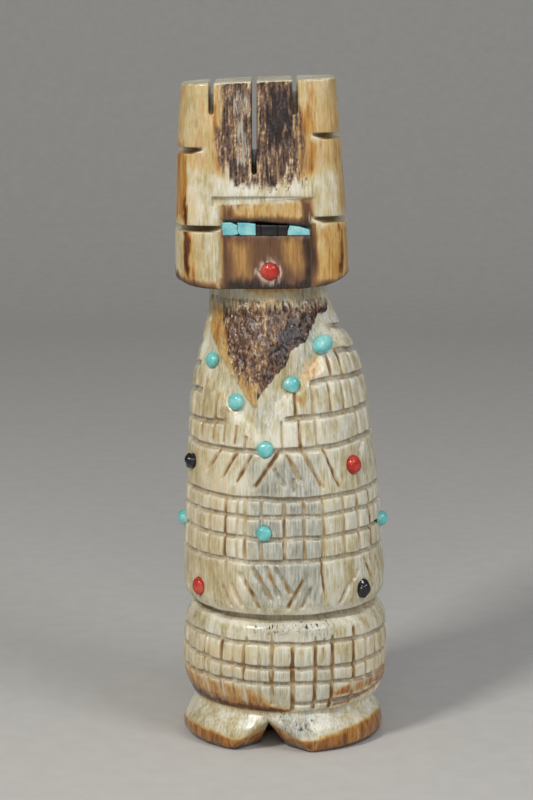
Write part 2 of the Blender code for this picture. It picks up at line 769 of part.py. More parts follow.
def make_stones():
    """The round stones of the robe and the mouth, and the cutter for their pockets."""
    pockets = Cutter("stone_pockets")
    for name, angle, height, wide, tall, turn, finish, sunk in ROUND_STONES:
        place = body_point(angle, height * UNIT, -sunk * COLLAR_DEPTH)
        normal = body_normal(angle, height * UNIT)
        set_stone(pockets, name, place, normal, (wide * MM, tall * MM), turn, finish)
    across, height = MOUTH_PLACE
    place = Vector((across, face_floor(height), height))
    size = (MOUTH_DIAMETER, MOUTH_DIAMETER)
    set_stone(pockets, "coral_mouth", place, Vector((0.0, -1.0, 0.0)), size, 0, "coral")
    return pockets.finish()


def make_eye_stones():
    """Short rods laid side by side in the eye channel."""
    floor = eye_channel_floor()
    front = face_floor(EYE_CHANNEL_BOTTOM) - EYE_STONE_PROUD
    low = EYE_CHANNEL_BOTTOM + STONE_CLEARANCE
    high = EYE_CHANNEL_BOTTOM + EYE_CHANNEL_HEIGHT - 2 * STONE_CLEARANCE
    for (name, _, finish), (left, right) in zip(EYE_STONES, eye_places()):
        rod = Cutter(name)
        corners = [
            (left, floor - STONE_CLEARANCE),
            (right, floor - STONE_CLEARANCE),
            (right, front),
            (left, front),
        ]
        slab(rod, corners, low, high)
        stone = add_object(name, rod.vertices, rod.faces, finish)
        bevel = stone.modifiers.new("worn_edges", "BEVEL")
        bevel.width = EYE_STONE_BEVEL
        bevel.segments = 1


def build():
    clear_scene()
    carving = make_blank()
    cutters = [
        make_collar_arm("collar_right_arm", COLLAR_RIGHT_ARM),
        make_collar_arm("collar_left_arm", COLLAR_LEFT_ARM),
        make_slots(),
        make_corner_kerfs(),
        *make_face_panel(),
        make_eye_channel(),
        *make_foot_cuts(),
        make_upright_cuts(),
        *make_slanted_cuts(),
        make_stones(),
    ]
    for cutter in cutters:
        cut_with(carving, cutter)
    make_eye_stones()


build()
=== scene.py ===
"""The looks of a small standing maiden, carved from one section of antler and set with stones.

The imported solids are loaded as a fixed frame. Worked antler and polished stones then take their
places. Lengths are in millimetres until a mesh is made, +Z is up, and the figure faces -Y. An angle
round the figure is in degrees: 0 is the front, 90 the viewer's right and -90 the viewer's left.
"""

import math

import bmesh
import bpy
import numpy as np
import openvdb
from mathutils import Matrix, Vector


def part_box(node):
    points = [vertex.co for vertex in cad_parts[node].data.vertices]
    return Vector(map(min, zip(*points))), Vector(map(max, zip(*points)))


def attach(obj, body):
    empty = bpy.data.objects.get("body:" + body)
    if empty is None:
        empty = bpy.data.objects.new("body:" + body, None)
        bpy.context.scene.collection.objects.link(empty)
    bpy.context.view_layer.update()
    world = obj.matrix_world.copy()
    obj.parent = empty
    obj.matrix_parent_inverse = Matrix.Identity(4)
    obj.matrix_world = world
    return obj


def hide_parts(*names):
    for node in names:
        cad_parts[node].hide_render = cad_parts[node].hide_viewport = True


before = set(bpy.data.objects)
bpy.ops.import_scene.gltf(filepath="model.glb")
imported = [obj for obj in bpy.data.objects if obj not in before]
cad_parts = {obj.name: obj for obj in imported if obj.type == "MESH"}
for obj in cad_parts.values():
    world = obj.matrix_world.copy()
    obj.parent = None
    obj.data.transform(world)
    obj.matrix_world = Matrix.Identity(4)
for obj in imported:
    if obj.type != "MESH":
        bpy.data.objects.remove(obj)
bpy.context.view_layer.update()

# The carving: the blank
#
# The real piece is one section of antler, sawn to length and filed to a square head-board on a
# robed body. All of the figure but its stones is this one piece, so nothing is joined or glued.

MM = 0.001
CROWN_TIP = 79.965
carving_low, carving_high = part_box("carving")
UNIT = (carving_high.z - carving_low.z) / MM / CROWN_TIP

# Outlines in mm at full size: height, left edge, right edge, front and back
BODY_OUTLINE = (
    (0.0, -11.2, 11.4, -10.3, 10.3),
    (0.7, -12.0, 12.2, -10.9, 10.9),
    (1.6, -12.1, 12.3, -11.0, 11.0),
    (2.7, -11.8, 12.1, -10.7, 10.7),
    (3.7, -11.2, 11.6, -10.1, 10.1),
    (4.7, -10.8, 11.2, -9.7, 9.7),
    (5.4, -10.9, 11.7, -10.0, 9.9),
    (6.8, -11.6, 12.4, -10.7, 10.6),
    (8.6, -12.1, 12.8, -11.0, 11.0),
    (11.3, -12.15, 12.8, -11.1, 11.1),
    (13.9, -11.9, 12.75, -11.0, 11.0),
    (15.3, -11.6, 12.5, -10.8, 10.8),
    (16.4, -11.0, 11.8, -10.2, 10.2),
    (17.4, -11.5, 11.7, -10.4, 10.4),
    (18.4, -11.95, 12.3, -10.8, 10.9),
    (21.0, -12.0, 12.4, -11.0, 11.0),
    (25.0, -12.0, 12.1, -10.9, 11.0),
    (30.9, -11.7, 11.7, -10.6, 10.8),
    (36.8, -11.45, 10.9, -10.1, 10.5),
    (41.7, -11.2, 10.3, -9.5, 10.1),
    (45.6, -10.55, 9.5, -8.9, 9.5),
    (48.5, -9.7, 8.4, -8.3, 8.8),
    (50.4, -9.3, 7.0, -7.7, 8.1),
    (52.4, -8.85, 6.0, -7.0, 7.4),
    (54.3, -8.8, 5.3, -6.6, 7.0),
    (56.5, -8.8, 5.3, -6.6, 7.0),
)
HEAD_OUTLINE = (
    (55.5, -12.5, 7.4, -8.5, 8.1),
    (57.0, -12.75, 7.8, -8.6, 8.3),
    (61.0, -12.75, 7.7, -8.6, 8.4),
    (66.0, -12.6, 7.3, -8.4, 8.3),
    (71.0, -12.5, 6.9, -8.2, 8.1),
    (75.0, -12.3, 6.6, -8.0, 7.9),
    (80.0, -11.9, 6.1, -7.8, 7.7),
)
BODY_POWER = 2.0
HEAD_FRONT_POWER = 5.0
HEAD_BACK_POWER = 2.8
LEAST_REACH = 0.05
HEAD_FOOT = 54.5 * UNIT
BODY_TOP = 58.0 * UNIT
OUTLINE_WEAR = 0.18

CROWN_HEIGHT = 79.6 * UNIT
CROWN_SLOPE = 0.042
CROWN_MIDDLE = -2.9 * UNIT
JAW_HEIGHT = 55.6 * UNIT
JAW_SIDE_RISE = 1.3 * UNIT
JAW_LEAN = 0.25 * UNIT
CROWN_WEAR = 0.32
JAW_WEAR = 0.36
SOLE_WEAR = 0.2
NECK_FILLET = 0.4

LEVEL_STEP = 0.05
TURN_STEP = 0.25
LOWEST_LEVEL = -1.0
TOP_LEVEL = 82.0 * UNIT
levels = np.arange(LOWEST_LEVEL, TOP_LEVEL, LEVEL_STEP)
turns = np.arange(-180.0, 180.0, TURN_STEP)


def soften(values, reach):
    """A row of values with its corners rounded over that reach in mm."""
    spread = reach / LEVEL_STEP
    steps = np.arange(-int(3 * spread), int(3 * spread) + 1)
    weights = np.exp(-0.5 * (steps / spread) ** 2)
    padded = np.pad(values, len(steps) // 2, mode="edge")
    return np.convolve(padded, weights / weights.sum(), mode="valid")


def make_outline(table):
    """Middle, half width, centre and half depth of an outline at every level."""
    rows = np.array(table) * UNIT
    left, right, front, back = (
        soften(np.interp(levels, rows[:, 0], rows[:, side]), OUTLINE_WEAR) for side in (1, 2, 3, 4)
    )
    return (left + right) / 2, (right - left) / 2, (front + back) / 2, (back - front) / 2


body_outline = make_outline(BODY_OUTLINE)
head_outline = make_outline(HEAD_OUTLINE)


def placed(outline, x, y, z):
    """Places as shares of the outline's half width and half depth, and those two themselves."""
    middle, half_width, centre, half_depth = (np.interp(z, levels, row) for row in outline)
    return (x - middle) / half_width, (y - centre) / half_depth, half_width, half_depth


def loft_distance(power, across, deep, half_width, half_depth):
    """Distance to a lofted form, negative inside. A higher power makes its sections squarer."""
    across = np.abs(across)
    deep = np.abs(deep)
    reach = np.maximum((across ** power + deep ** power) ** (1 / power), LEAST_REACH)
    slope_across = (across / reach) ** (power - 1) / half_width
    slope_deep = (deep / reach) ** (power - 1) / half_depth
    return (reach - 1) / np.sqrt(slope_across ** 2 + slope_deep ** 2)


def smooth_larger(first, second, reach):
    """The larger of two distances, with the edge between them rounded over that reach."""
    overlap = np.maximum(reach - np.abs(first - second), 0.0)
    return np.maximum(first, second) + overlap ** 2 / (4 * reach)


def crown_height(x):
    return CROWN_HEIGHT + CROWN_SLOPE * (x - CROWN_MIDDLE)


def head_front(z):
    """How far forward the front of the head stands."""
    return np.interp(z, levels, head_outline[2] - head_outline[3])


def head_distance(x, y, z):
    """Distance to the head, from the jaw's slanting edge to the sawn crown."""
    across, deep, half_width, half_depth = placed(head_outline, x, y, z)
    power = np.where(deep < 0, HEAD_FRONT_POWER, HEAD_BACK_POWER).astype(np.float32)
    sides = loft_distance(power, across, deep, half_width, half_depth)
    corner = np.minimum(np.abs(across), 1.0) ** (power / 2)
    jaw = JAW_HEIGHT + JAW_SIDE_RISE * corner ** 2 + JAW_LEAN * np.sign(across) * corner
    head = smooth_larger(sides, z - crown_height(x), CROWN_WEAR)
    return smooth_larger(head, jaw - z, JAW_WEAR)


def blank_distance(x, y, z):
    """Distance to the shaped blank, before any cut is made in it."""
    body = loft_distance(BODY_POWER, *placed(body_outline, x, y, z))
    body = smooth_larger(body, -z, SOLE_WEAR)
    if z.max() < HEAD_FOOT:
        return body
    body = np.maximum(body, z - BODY_TOP)
    return -smooth_larger(-body, -head_distance(x, y, z), NECK_FILLET)


# The carving: what is engraved in its surface
#
# Rings, cuts and pits are drawn on sheets wrapped round the figure, with a row for each twentieth of
# a millimetre of height and a column for each quarter of a degree. One sheet holds the depth, and
# the others hold where the antler is stained, burnt, grey or open, and where shade and highlights
# are painted on.

SHEET = (len(levels), len(turns))
MEAN_MM_PER_DEGREE = 0.2
sheets = {name: np.zeros(SHEET, np.float32) for name in (
    "depth", "kerf", "stain", "pith", "chest", "dark", "amber", "burnt", "ash", "pale", "pore", "glue",
    "edge_highlight",
)}


def blurred(values, across, along):
    """A sheet smoothed over those reaches in mm."""
    rows = np.fft.fftfreq(SHEET[0])[:, None] * along / LEVEL_STEP
    columns = np.fft.rfftfreq(SHEET[1])[None, :] * across / (TURN_STEP * MEAN_MM_PER_DEGREE)
    spread = np.exp(-2 * math.pi ** 2 * (rows ** 2 + columns ** 2))
    return np.fft.irfft2(np.fft.rfft2(values) * spread, SHEET)


def grain(seed, across, along):
    """Seeded unevenness all over the sheet, in spots of about that size in mm."""
    noise = np.random.default_rng(seed).standard_normal(SHEET).astype(np.float32)
    noise = blurred(noise, across / 2, along / 2)
    return (noise / noise.std()).astype(np.float32)


def mixed_grain(layers):
    """Unevenness in layers, each given by its strength, its seed and the size of its spots."""
    return sum(strength * grain(*noise) for strength, *noise in layers)


def smooth_step(value):
    value = np.clip(value, 0.0, 1.0)
    return value * value * (3 - 2 * value)


def surface_point(angle, height):
    """A point of the blank's surface at an angle and height."""
    outline = head_outline if height > JAW_HEIGHT else body_outline
    middle, half_width, centre, half_depth = (np.interp(height, levels, row) for row in outline)
    sine, cosine = math.sin(math.radians(angle)), math.cos(math.radians(angle))
    power = BODY_POWER
    if outline is head_outline:
        power = HEAD_FRONT_POWER if cosine > 0 else HEAD_BACK_POWER
    reach = (abs(sine) ** power + abs(cosine) ** power) ** (-1 / power)
    return Vector((middle + half_width * reach * sine, centre - half_depth * reach * cosine, height))


def window(angles, heights, margin):
    """Rows and columns of the sheet round some places, and each place there in mm from the first."""
    angle, height = float(np.mean(angles)), float(np.mean(heights))
    scale = (surface_point(angle + 1, height) - surface_point(angle - 1, height)).length / 2
    offset = (turns - angles[0] + 180) % 360 - 180
    spread = [(angle - angles[0] + 180) % 360 - 180 for angle in angles]
    columns = np.flatnonzero(
        (offset > min(spread) - margin / scale) & (offset < max(spread) + margin / scale)
    )
    rows = np.flatnonzero((levels > min(heights) - margin) & (levels < max(heights) + margin))
    across = (offset[columns] * scale)[None, :]
    up = levels[rows][:, None]
    corners = [(turn * scale, height) for turn, height in zip(spread, heights)]
    return np.ix_(rows, columns), across, up, corners


def away_from_path(across, up, corners):
    """Distance to a path of straight pieces, and the share of its length at the nearest point."""
    pieces = list(zip(corners, corners[1:]))
    lengths = [math.dist(start, end) for start, end in pieces]
    nearest, share_there, done = np.inf, 0.0, 0.0
    for (start, end), length in zip(pieces, lengths):
        run, rise = end[0] - start[0], end[1] - start[1]
        along = (across - start[0]) * run + (up - start[1]) * rise
        share = np.clip(along / length ** 2, 0.0, 1.0)
        distance = np.hypot(across - start[0] - share * run, up - start[1] - share * rise)
        closer = distance < nearest
        nearest = np.where(closer, distance, nearest)
        share_there = np.where(closer, (done + share * length) / sum(lengths), share_there)
        done += length
    return nearest, share_there


def mark(sheet, place, value):
    """Keeps the stronger of what a sheet holds and a new value."""
    sheets[sheet][place] = np.maximum(sheets[sheet][place], value)


CUT_WALL = 0.2
CUT_WIDTH = 0.42
CUT_DEPTH = 0.28
CUT_WANDER = 0.04
# A cut ends a little abruptly, and its brown lies unevenly and narrower than a sloping wall
CUT_STOP = 0.25
STAIN_EDGE = 0.18
STAIN_UNEVENNESS = 0.3
STAIN_NARROWING = 0.25
cut_wander = CUT_WANDER * grain(15, 0.6, 0.8)
cut_stain = 1 + STAIN_UNEVENNESS * grain(16, 0.3, 0.9)


def cut(path, width, depth, stain, ends, wall=CUT_WALL):
    """A file or knife cut along angles and heights, fading at both ends, with brown worked into it."""
    angles = [angle for angle, _ in path]
    heights = [height * UNIT for _, height in path]
    place, across, up, corners = window(angles, heights, width + wall)
    distance, share = away_from_path(across, up, corners)
    distance = distance + cut_wander[place]
    fade = smooth_step(np.minimum(share, 1 - share) / ends + CUT_STOP)
    mark("depth", place, depth * smooth_step(0.5 - (distance - width / 2) / wall) * fade)
    core = width / 2 - STAIN_NARROWING * (wall - CUT_WALL)
    brown = smooth_step(0.5 - (distance - core) / STAIN_EDGE) * cut_stain[place]
    mark("stain", place, stain * brown * fade)


# Rings: height in front, at the left and at the right, the angles from which and to which each
# runs by way of the back, its width and its depth
RINGS = (
    (6.1, 6.3, 6.8, 2, 150, 0.5, 0.35),
    (8.75, 9.05, 8.7, 0, 360, 0.5, 0.4),
    (10.65, 11.7, 11.2, 0, 360, 0.5, 0.4),
    (13.65, 14.0, 13.9, 0, 360, 0.5, 0.4),
    (23.6, 23.9, 24.3, 0, 360, 0.5, 0.4),
    (26.35, 26.85, 26.95, 0, 360, 0.5, 0.4),
    (28.9, 29.2, 29.5, 0, 360, 0.5, 0.4),
    (31.0, 31.4, 31.7, 0, 360, 0.55, 0.45),
    (36.7, 37.15, 38.0, 0, 360, 0.6, 0.45),
    (40.3, 39.5, 41.1, 2, 323, 0.6, 0.45),
    (44.3, 42.7, 44.7, 20, 300, 0.6, 0.45),
    (47.7, 45.7, 47.5, 45, 290, 0.6, 0.45),
    (50.6, 48.2, 50.1, 60, 280, 0.6, 0.65),
)
HEM_RING = (16.5, 16.9, 17.1, 0, 360, 0.8, 0.95)
RING_WALL = 0.14
RING_EDGE = 0.2
RING_WANDER = 0.05
RING_UNEVENNESS = 0.2
RING_REACH = 1.5
RING_RUN_OUT = 3
WANDER_ROWS = 40


def ring_height(ring, angle):
    """Height of a ring: it tilts from left to right and sags or lifts in front."""
    front, left, right = (UNIT * value for value in ring[:3])
    turn = np.radians(angle)
    sides = (left + right) / 2
    return sides + (right - left) / 2 * np.sin(turn) + (front - sides) * np.maximum(np.cos(turn), 0)


def saw_ring(ring, wander, strength):
    """A flat-bottomed saw kerf round the body, wandering a little and cut unevenly deep."""
    start, end, width, depth = ring[3:]
    centre = ring_height(ring, turns) + wander * RING_WANDER
    rows = np.flatnonzero((levels > centre.min() - RING_REACH) & (levels < centre.max() + RING_REACH))
    place = np.ix_(rows, np.arange(len(turns)))
    distance = np.abs(levels[rows][:, None] - centre[None, :])
    turned = turns % 360
    fade = np.ones(len(turns))
    if end - start < 360:
        fade = smooth_step((turned - start) / RING_RUN_OUT) * smooth_step((end - turned) / RING_RUN_OUT)
    groove = smooth_step(0.5 - (distance - width / 2) / RING_WALL) * fade
    mark("depth", place, depth * groove * (1 + RING_UNEVENNESS * strength))
    mark("kerf", place, smooth_step(0.5 - (distance - width / 2) / RING_EDGE) * fade)


wander = grain(11, 1.5, 1.5)
strength = grain(12, 2.5, 2.5)
for index, ring in enumerate(RINGS):
    saw_ring(ring, wander[WANDER_ROWS * index], strength[WANDER_ROWS * index])
saw_ring(HEM_RING, wander[-1], strength[-1])


# Upright cuts: the angle, how brown the cut is and for the skirt its width. The skirt's cuts run
# down to its foot, which is lower from an angle just right of the front onwards.
SKIRT_FOOT = 5.9
SKIRT_FOOT_RIGHT = 5.1
SKIRT_FOOT_TURN = 2
SKIRT_CUTS = (
    (-74, 0.4, 0.42), (-63, 0.4, 0.42), (-53, 0.6, 0.44), (-49, 0.3, 0.38), (-39, 0.7, 0.44),
    (-31, 0.25, 0.3), (-24.5, 0.8, 0.46), (-15, 0.3, 0.3), (-8, 0.8, 0.54), (3.7, 0.9, 0.54),
    (16.6, 0.8, 0.54), (27, 0.9, 0.54), (41.7, 0.9, 0.46), (51.7, 0.5, 0.42), (61.3, 0.5, 0.42),
    (72, 0.5, 0.42), (84, 0.5, 0.42),
)
BAND_CUTS = (
    (-75, 0.3), (-61, 0.3), (-48.5, 0.4), (-36, 0.7), (-28, 0.3), (-23, 0.5), (-13, 0.4), (0.4, 0.8),
    (12, 0.6), (24, 0.6), (38, 0.4), (49.5, 0.5), (62, 0.8), (70, 0.5), (83, 0.4),
)
CHEST_CUTS = (
    ((1, 0.5), (12, 0.9), (23, 0.5), (58, 0.5), (70, 0.5)),
    ((10, 0.9), (22, 0.5), (35, 0.5), (46, 0.7), (56, 0.5), (66, 0.5), (80, 0.5)),
    ((38.5, 0.6), (49, 0.8), (62, 0.5), (78, 0.5)),
)
BACK_STAIN = 0.4
BACK_CUTS = tuple((angle, BACK_STAIN) for angle in range(99, 262, 27))
SKIRT_RINGS = RINGS[:4]
BAND_RINGS = RINGS[4:8]
CHEST_RINGS = RINGS[8:]
UPRIGHT_ENDS = 0.06
CHEST_ENDS = 0.1


def upright_cuts(low_ring, top_ring, cuts, ends):
    """Cuts from one ring up to another, each given by its angle and how brown it is."""
    for angle, stain in cuts:
        low, top = (ring_height(ring, angle) / UNIT for ring in (low_ring, top_ring))
        cut(((angle, low), (angle, top)), CUT_WIDTH, CUT_DEPTH, stain, ends)


for angle, stain, width in (*SKIRT_CUTS, *((*back_cut, CUT_WIDTH) for back_cut in BACK_CUTS)):
    foot = SKIRT_FOOT if angle < SKIRT_FOOT_TURN else SKIRT_FOOT_RIGHT
    top = ring_height(SKIRT_RINGS[-1], angle) / UNIT
    cut(((angle, foot), (angle, top)), width, CUT_DEPTH, stain, UPRIGHT_ENDS)
upright_cuts(BAND_RINGS[0], BAND_RINGS[-1], BAND_CUTS + BACK_CUTS, UPRIGHT_ENDS)
for low_ring, top_ring, cuts in zip(CHEST_RINGS, CHEST_RINGS[1:], CHEST_CUTS):
    upright_cuts(low_ring, top_ring, cuts, CHEST_ENDS)

# The left of the chest: angle and height of the upper end, then of the lower end, and how brown
LEFT_CHEST_ENDS = 0.12
LEFT_CHEST_CUTS = (
    (-57, 44.8, -59, 37.3, 0.5),
    (-44, 43.4, -47, 37.2, 0.6),
    (-36.5, 40.4, -38, 37.2, 0.5),
    (-28, 39.6, -30, 37.1, 0.5),
    (-21.5, 38.4, -23, 36.9, 0.5),
    (-70, 44.5, -71, 37.3, 0.4),
)
for top_angle, top, low_angle, low, stain in LEFT_CHEST_CUTS:
    cut(((top_angle, top), (low_angle, low)), CUT_WIDTH, CUT_DEPTH, stain, LEFT_CHEST_ENDS)

# Ticks where the file ran on above the skirt's top ring: angle, length and how brown
TICK_WIDTH = 0.4
TICK_DEPTH = 0.25
TICK_ENDS = 0.4
SKIRT_TICKS = (
    (-54, 0.6, 0.4), (-39, 0.7, 0.4), (-23, 0.7, 0.7), (-8, 0.5, 0.3), (16.6, 0.8, 0.6), (22, 0.6, 0.6),
    (27, 0.9, 0.7), (42, 1.6, 0.95),
)
for angle, length, stain in SKIRT_TICKS:
    foot = ring_height(SKIRT_RINGS[-1], angle) / UNIT
    cut(((angle, foot), (angle, foot + length)), TICK_WIDTH, TICK_DEPTH, stain, TICK_ENDS)

# Slanted cuts of the two bands: angle and height of the upper end, then of the lower end, how brown
# the cut is and its width. Those behind lean to either side in turn.
SLANT_WALL = 0.36
SLANT_DEPTH = 0.36
SLANT_ENDS = 0.15
UPPER_SLANTS = (
    (-40.1, 36.6, -52.1, 33.6, 0.65, 0.44), (-27.7, 36.5, -40.3, 32.7, 0.8, 0.44),
    (-17.7, 36.3, -29.2, 32.6, 0.7, 0.42), (-4.7, 34.7, 2, 32.5, 0.5, 0.44),
    (3, 36.5, 11.5, 33.0, 0.6, 0.5), (12, 37.2, 24.9, 32.0, 0.55, 0.44),
    (26.2, 37.1, 36.9, 31.8, 0.75, 0.36), (62.9, 37.1, 55.2, 35.4, 0.6, 0.36),
    (7.1, 33.6, 6.6, 31.8, 0.4, 0.26), (0.4, 37.1, -18.3, 32.0, 1.0, 0.46),
)
LOWER_SLANTS = (
    (-35.7, 23.4, -34.0, 19.7, 0.4, 0.26), (-37.4, 20.2, -31.7, 17.7, 0.5, 0.42),
    (-31.8, 20.8, -24.2, 17.8, 0.5, 0.42), (-27, 22.2, -16.0, 18.7, 0.55, 0.5),
    (-19.8, 20.1, -14.2, 17.7, 0.8, 0.42), (-18.8, 23.0, -6.5, 18.6, 0.5, 0.56),
    (-11, 23.2, -2.8, 19.2, 0.5, 0.56), (-5.2, 23.1, 4.2, 19.4, 0.6, 0.5),
    (11.1, 21.6, 1.4, 17.7, 0.75, 0.44), (15.2, 20.4, 9.6, 17.8, 0.4, 0.46),
    (40.3, 20.7, 33.0, 18.0, 0.65, 0.4), (47, 21.9, 41.8, 20.6, 0.3, 0.4),
    (52.4, 23.5, 63.6, 19.1, 1.0, 0.44), (59, 23.4, 63.1, 21.9, 0.6, 0.34),
    (65.5, 23.1, 73.4, 20.2, 0.8, 0.38), (-68.5, 20.5, -73, 18.8, 0.7, 0.34),
)
BACK_SLANTS = tuple(zip(range(99, 262, 23), (-4.5, 4.5) * 4))
BACK_SLANT_TOP = 0.9
BACK_SLANT_FOOT = 0.12


def slanted_cut(top_angle, top, low_angle, low, stain, width):
    path = ((top_angle, top), (low_angle, low))
    cut(path, width, SLANT_DEPTH, stain, SLANT_ENDS, SLANT_WALL)


for low_ring, top_ring, slants in (
    (BAND_RINGS[-1], CHEST_RINGS[0], UPPER_SLANTS), (HEM_RING, BAND_RINGS[0], LOWER_SLANTS),
):
    for slant in slants:
        slanted_cut(*slant)
    for angle, lean in BACK_SLANTS:
        low, top = (ring_height(ring, angle - lean) / UNIT for ring in (low_ring, top_ring))
        upper, lower = (low + (top - low) * share for share in (BACK_SLANT_TOP, BACK_SLANT_FOOT))
        slanted_cut(angle - lean, upper, angle + lean, lower, BACK_STAIN, CUT_WIDTH)

# Drying cracks along the fibres
CRACK_WIDTH = 0.26
CRACK_DEPTH = 0.2
CRACK_STAIN = 0.9
CRACK_ENDS = 0.3
CRACKS = (
    ((23.4, 26.3), (22.0, 23.6), (21.3, 22.3), (22.8, 19.7), (23.3, 18.4)),
    ((21.0, 13.3), (21.3, 12.1), (21.2, 11.1)),
    ((29.0, 74.2), (29.2, 71.7), (28.0, 68.9)),
    ((12.0, 70.6), (12.2, 68.9), (12.0, 67.5)),
    ((18.4, 1.6), (18.0, 0.7)),
)
for path in CRACKS:
    cut(path, CRACK_WIDTH, CRACK_DEPTH, CRACK_STAIN, CRACK_ENDS)

# Edges of patches wander along the fibres
EDGE_WANDER = ((0.6, 13, 0.2, 1.4), (0.4, 14, 0.9, 2.5))
ragged_edge = mixed_grain(EDGE_WANDER)


def from_edge(across, up, corners):
    """Distance to the edge of a closed outline, negative inside."""
    closed = corners + corners[:1]
    edge, _ = away_from_path(across, up, closed)
    inside = np.zeros(edge.shape, bool)
    for (x0, z0), (x1, z1) in zip(closed, closed[1:]):
        if z0 != z1:
            inside ^= ((z0 > up) != (z1 > up)) & (across < (x1 - x0) * (up - z0) / (z1 - z0) + x0)
    return np.where(inside, -edge, edge)


def patch_cover(path, soft, ragged):
    """Where a patch lies on the sheets, and how fully it covers each place there."""
    angles = [angle for angle, _ in path]
    heights = [height * UNIT for _, height in path]
    place, across, up, corners = window(angles, heights, soft + 2 * ragged)
    edge = from_edge(across, up, corners) + ragged * ragged_edge[place]
    return place, smooth_step(0.5 - edge / soft)


def patch(sheet, strength, soft, ragged, *path):
    """Lays a patch with a soft, ragged edge on a sheet."""
    place, cover = patch_cover(path, soft, ragged)
    mark(sheet, place, strength * cover)


# The open chest stands in a V between the two arms of the collar. An edge is given by how soft and
# how ragged it is, in mm.
OPEN_CHEST_EDGE = (0.3, 0.1)
OPEN_CHEST = (
    (-73, 54.3), (73, 54.0), (66, 52.4), (47, 52.1), (38, 51.1), (24, 49.3), (9, 48.2), (5, 46.7),
    (-2, 45.6), (-11, 43.3), (-17, 41.8), (-26, 43.7), (-40, 46.4), (-61, 49.2), (-76, 51.0),
)
COLLAR_DEPTH = 0.36
COLLAR_ARMS = (
    (
        (66, 52.6), (47, 52.3), (35, 50.7), (16.5, 48.4), (-2.5, 44.6), (-15, 42.3), (-13, 39.6),
        (-8.6, 40.2), (-4.7, 41.3), (3.7, 42.9), (13.8, 44.2), (22.7, 45.3), (40.7, 47.4),
        (60.5, 49.4), (81, 51.6),
    ),
    (
        (-76, 50.6), (-71, 53.5), (-45, 48.1), (-26, 44.5), (-15, 42.3), (-11.6, 37.9), (-18.7, 39.1),
        (-32.5, 41.3), (-46, 43.4), (-60, 45.5), (-75.9, 48.4),
    ),
    ((-18, 42.4), (-12, 42.4), (-9.8, 37.7), (-12.5, 37.4)),
)
COLLAR_EDGE = (1.8, 0.05)
CHEST_LUMPS = ((0.6, 21, 0.2, 0.32), (0.4, 22, 0.6, 1.0))
CHEST_LUMP_HEIGHT = 0.075
chest_place, chest_cover = patch_cover(OPEN_CHEST, *OPEN_CHEST_EDGE)
collar = np.zeros(SHEET, np.float32)
for arm in COLLAR_ARMS:
    place, cover = patch_cover(arm, *COLLAR_EDGE)
    collar[place] = np.maximum(collar[place], cover)
collar[chest_place] *= 1 - chest_cover
sheets["depth"] = np.maximum(sheets["depth"], COLLAR_DEPTH * collar)
chest_lumps = mixed_grain(CHEST_LUMPS)
sheets["depth"][chest_place] += CHEST_LUMP_HEIGHT * chest_lumps[chest_place] * chest_cover

# Open pith: long cells with pale walls between them on the head-board, and lumps on the chest
HEAD_BOARD_PITH = (
    (-27, 79.9), (-25, 77.4), (-24, 75.4), (-28, 73.1), (-27, 72), (-25, 70.5), (-22, 69.1),
    (-20, 68.4), (-16, 67.9), (-7, 67.7), (1, 67.8), (12, 67.6), (16, 68.3), (25, 68.4), (26, 70.5),
    (27, 72.5), (26, 74.3), (26, 76.1), (25, 77.4), (22, 79.9),
)
HEAD_BOARD_EDGE = (2.4, 0.3)
CELL_DEPTH = 0.13
CELL_WALL = 0.3
CELL_SLOPE = 0.7
CELL_MEAN = 0.6
CELL_UNEVENNESS = 0.4
CELL_EXTREMES = (0.15, 1.3)
PITH_SINK = 0.04
CHEST_PORES = 0.4
CHEST_DARKNESS = 0.25
cells = np.abs(grain(31, 0.22, 1.6))
cell_depth = CELL_MEAN + CELL_UNEVENNESS * grain(32, 0.5, 1.5)
pits = smooth_step((cells - CELL_WALL) / CELL_SLOPE) * np.clip(cell_depth, *CELL_EXTREMES)
place, cover = patch_cover(HEAD_BOARD_PITH, *HEAD_BOARD_EDGE)
mark("pith", place, cover)
mark("pore", place, pits[place] * cover)
sheets["depth"][place] += (CELL_DEPTH * pits[place] + PITH_SINK) * cover
mark("pith", chest_place, chest_cover)
mark("chest", chest_place, chest_cover)
mark("pore", chest_place, np.clip(0.5 + CHEST_PORES * chest_lumps[chest_place], 0, 1) * chest_cover)
mark("dark", chest_place, CHEST_DARKNESS * chest_cover)

# Single pores: dark specks under the pith, on the neck and in the grey of the skirt and the feet
SPECK_DEPTH = 0.1
SPECK_START = 1.1
SPECK_SLOPE = 0.7
SPECK_PITH = 0.8
SPECK_DARKNESS = 0.5
PORE_EDGE = (1.6, 0.2)
PORE_PATCHES = (
    ((-22, 69.2), (28, 69.2), (30, 67.4), (8, 66.7), (-21, 66.8)),
    ((-20, 16.4), (30, 16.4), (26, 14.6), (-16, 14.6)),
    ((-8, 5.0), (20, 5.0), (14, 2.2), (2, 2.6)),
    ((-45, 54.4), (50, 54.4), (50, 53.4), (-45, 53.4)),
)
specks = smooth_step((grain(42, 0.11, 0.24) - SPECK_START) / SPECK_SLOPE)
for path in PORE_PATCHES:
    place, cover = patch_cover(path, *PORE_EDGE)
    sheets["depth"][place] += SPECK_DEPTH * specks[place] * cover
    mark("pith", place, SPECK_PITH * specks[place] * cover)
    mark("dark", place, SPECK_DARKNESS * specks[place] * cover)

# Painted highlight: edges beside the cuts are painted pale as if lit, as far as this reach and down to
# this depth
HIGHLIGHT_REACH = 0.3
HIGHLIGHT_DEPTH = 0.12
HIGHLIGHT_FULL = 0.16
beside_cuts = blurred(sheets["depth"], HIGHLIGHT_REACH, HIGHLIGHT_REACH).astype(np.float32)
on_top = smooth_step(1 - sheets["depth"] / HIGHLIGHT_DEPTH)
sheets["edge_highlight"] = smooth_step(beside_cuts / HIGHLIGHT_FULL) * on_top * (1 - sheets["pith"])

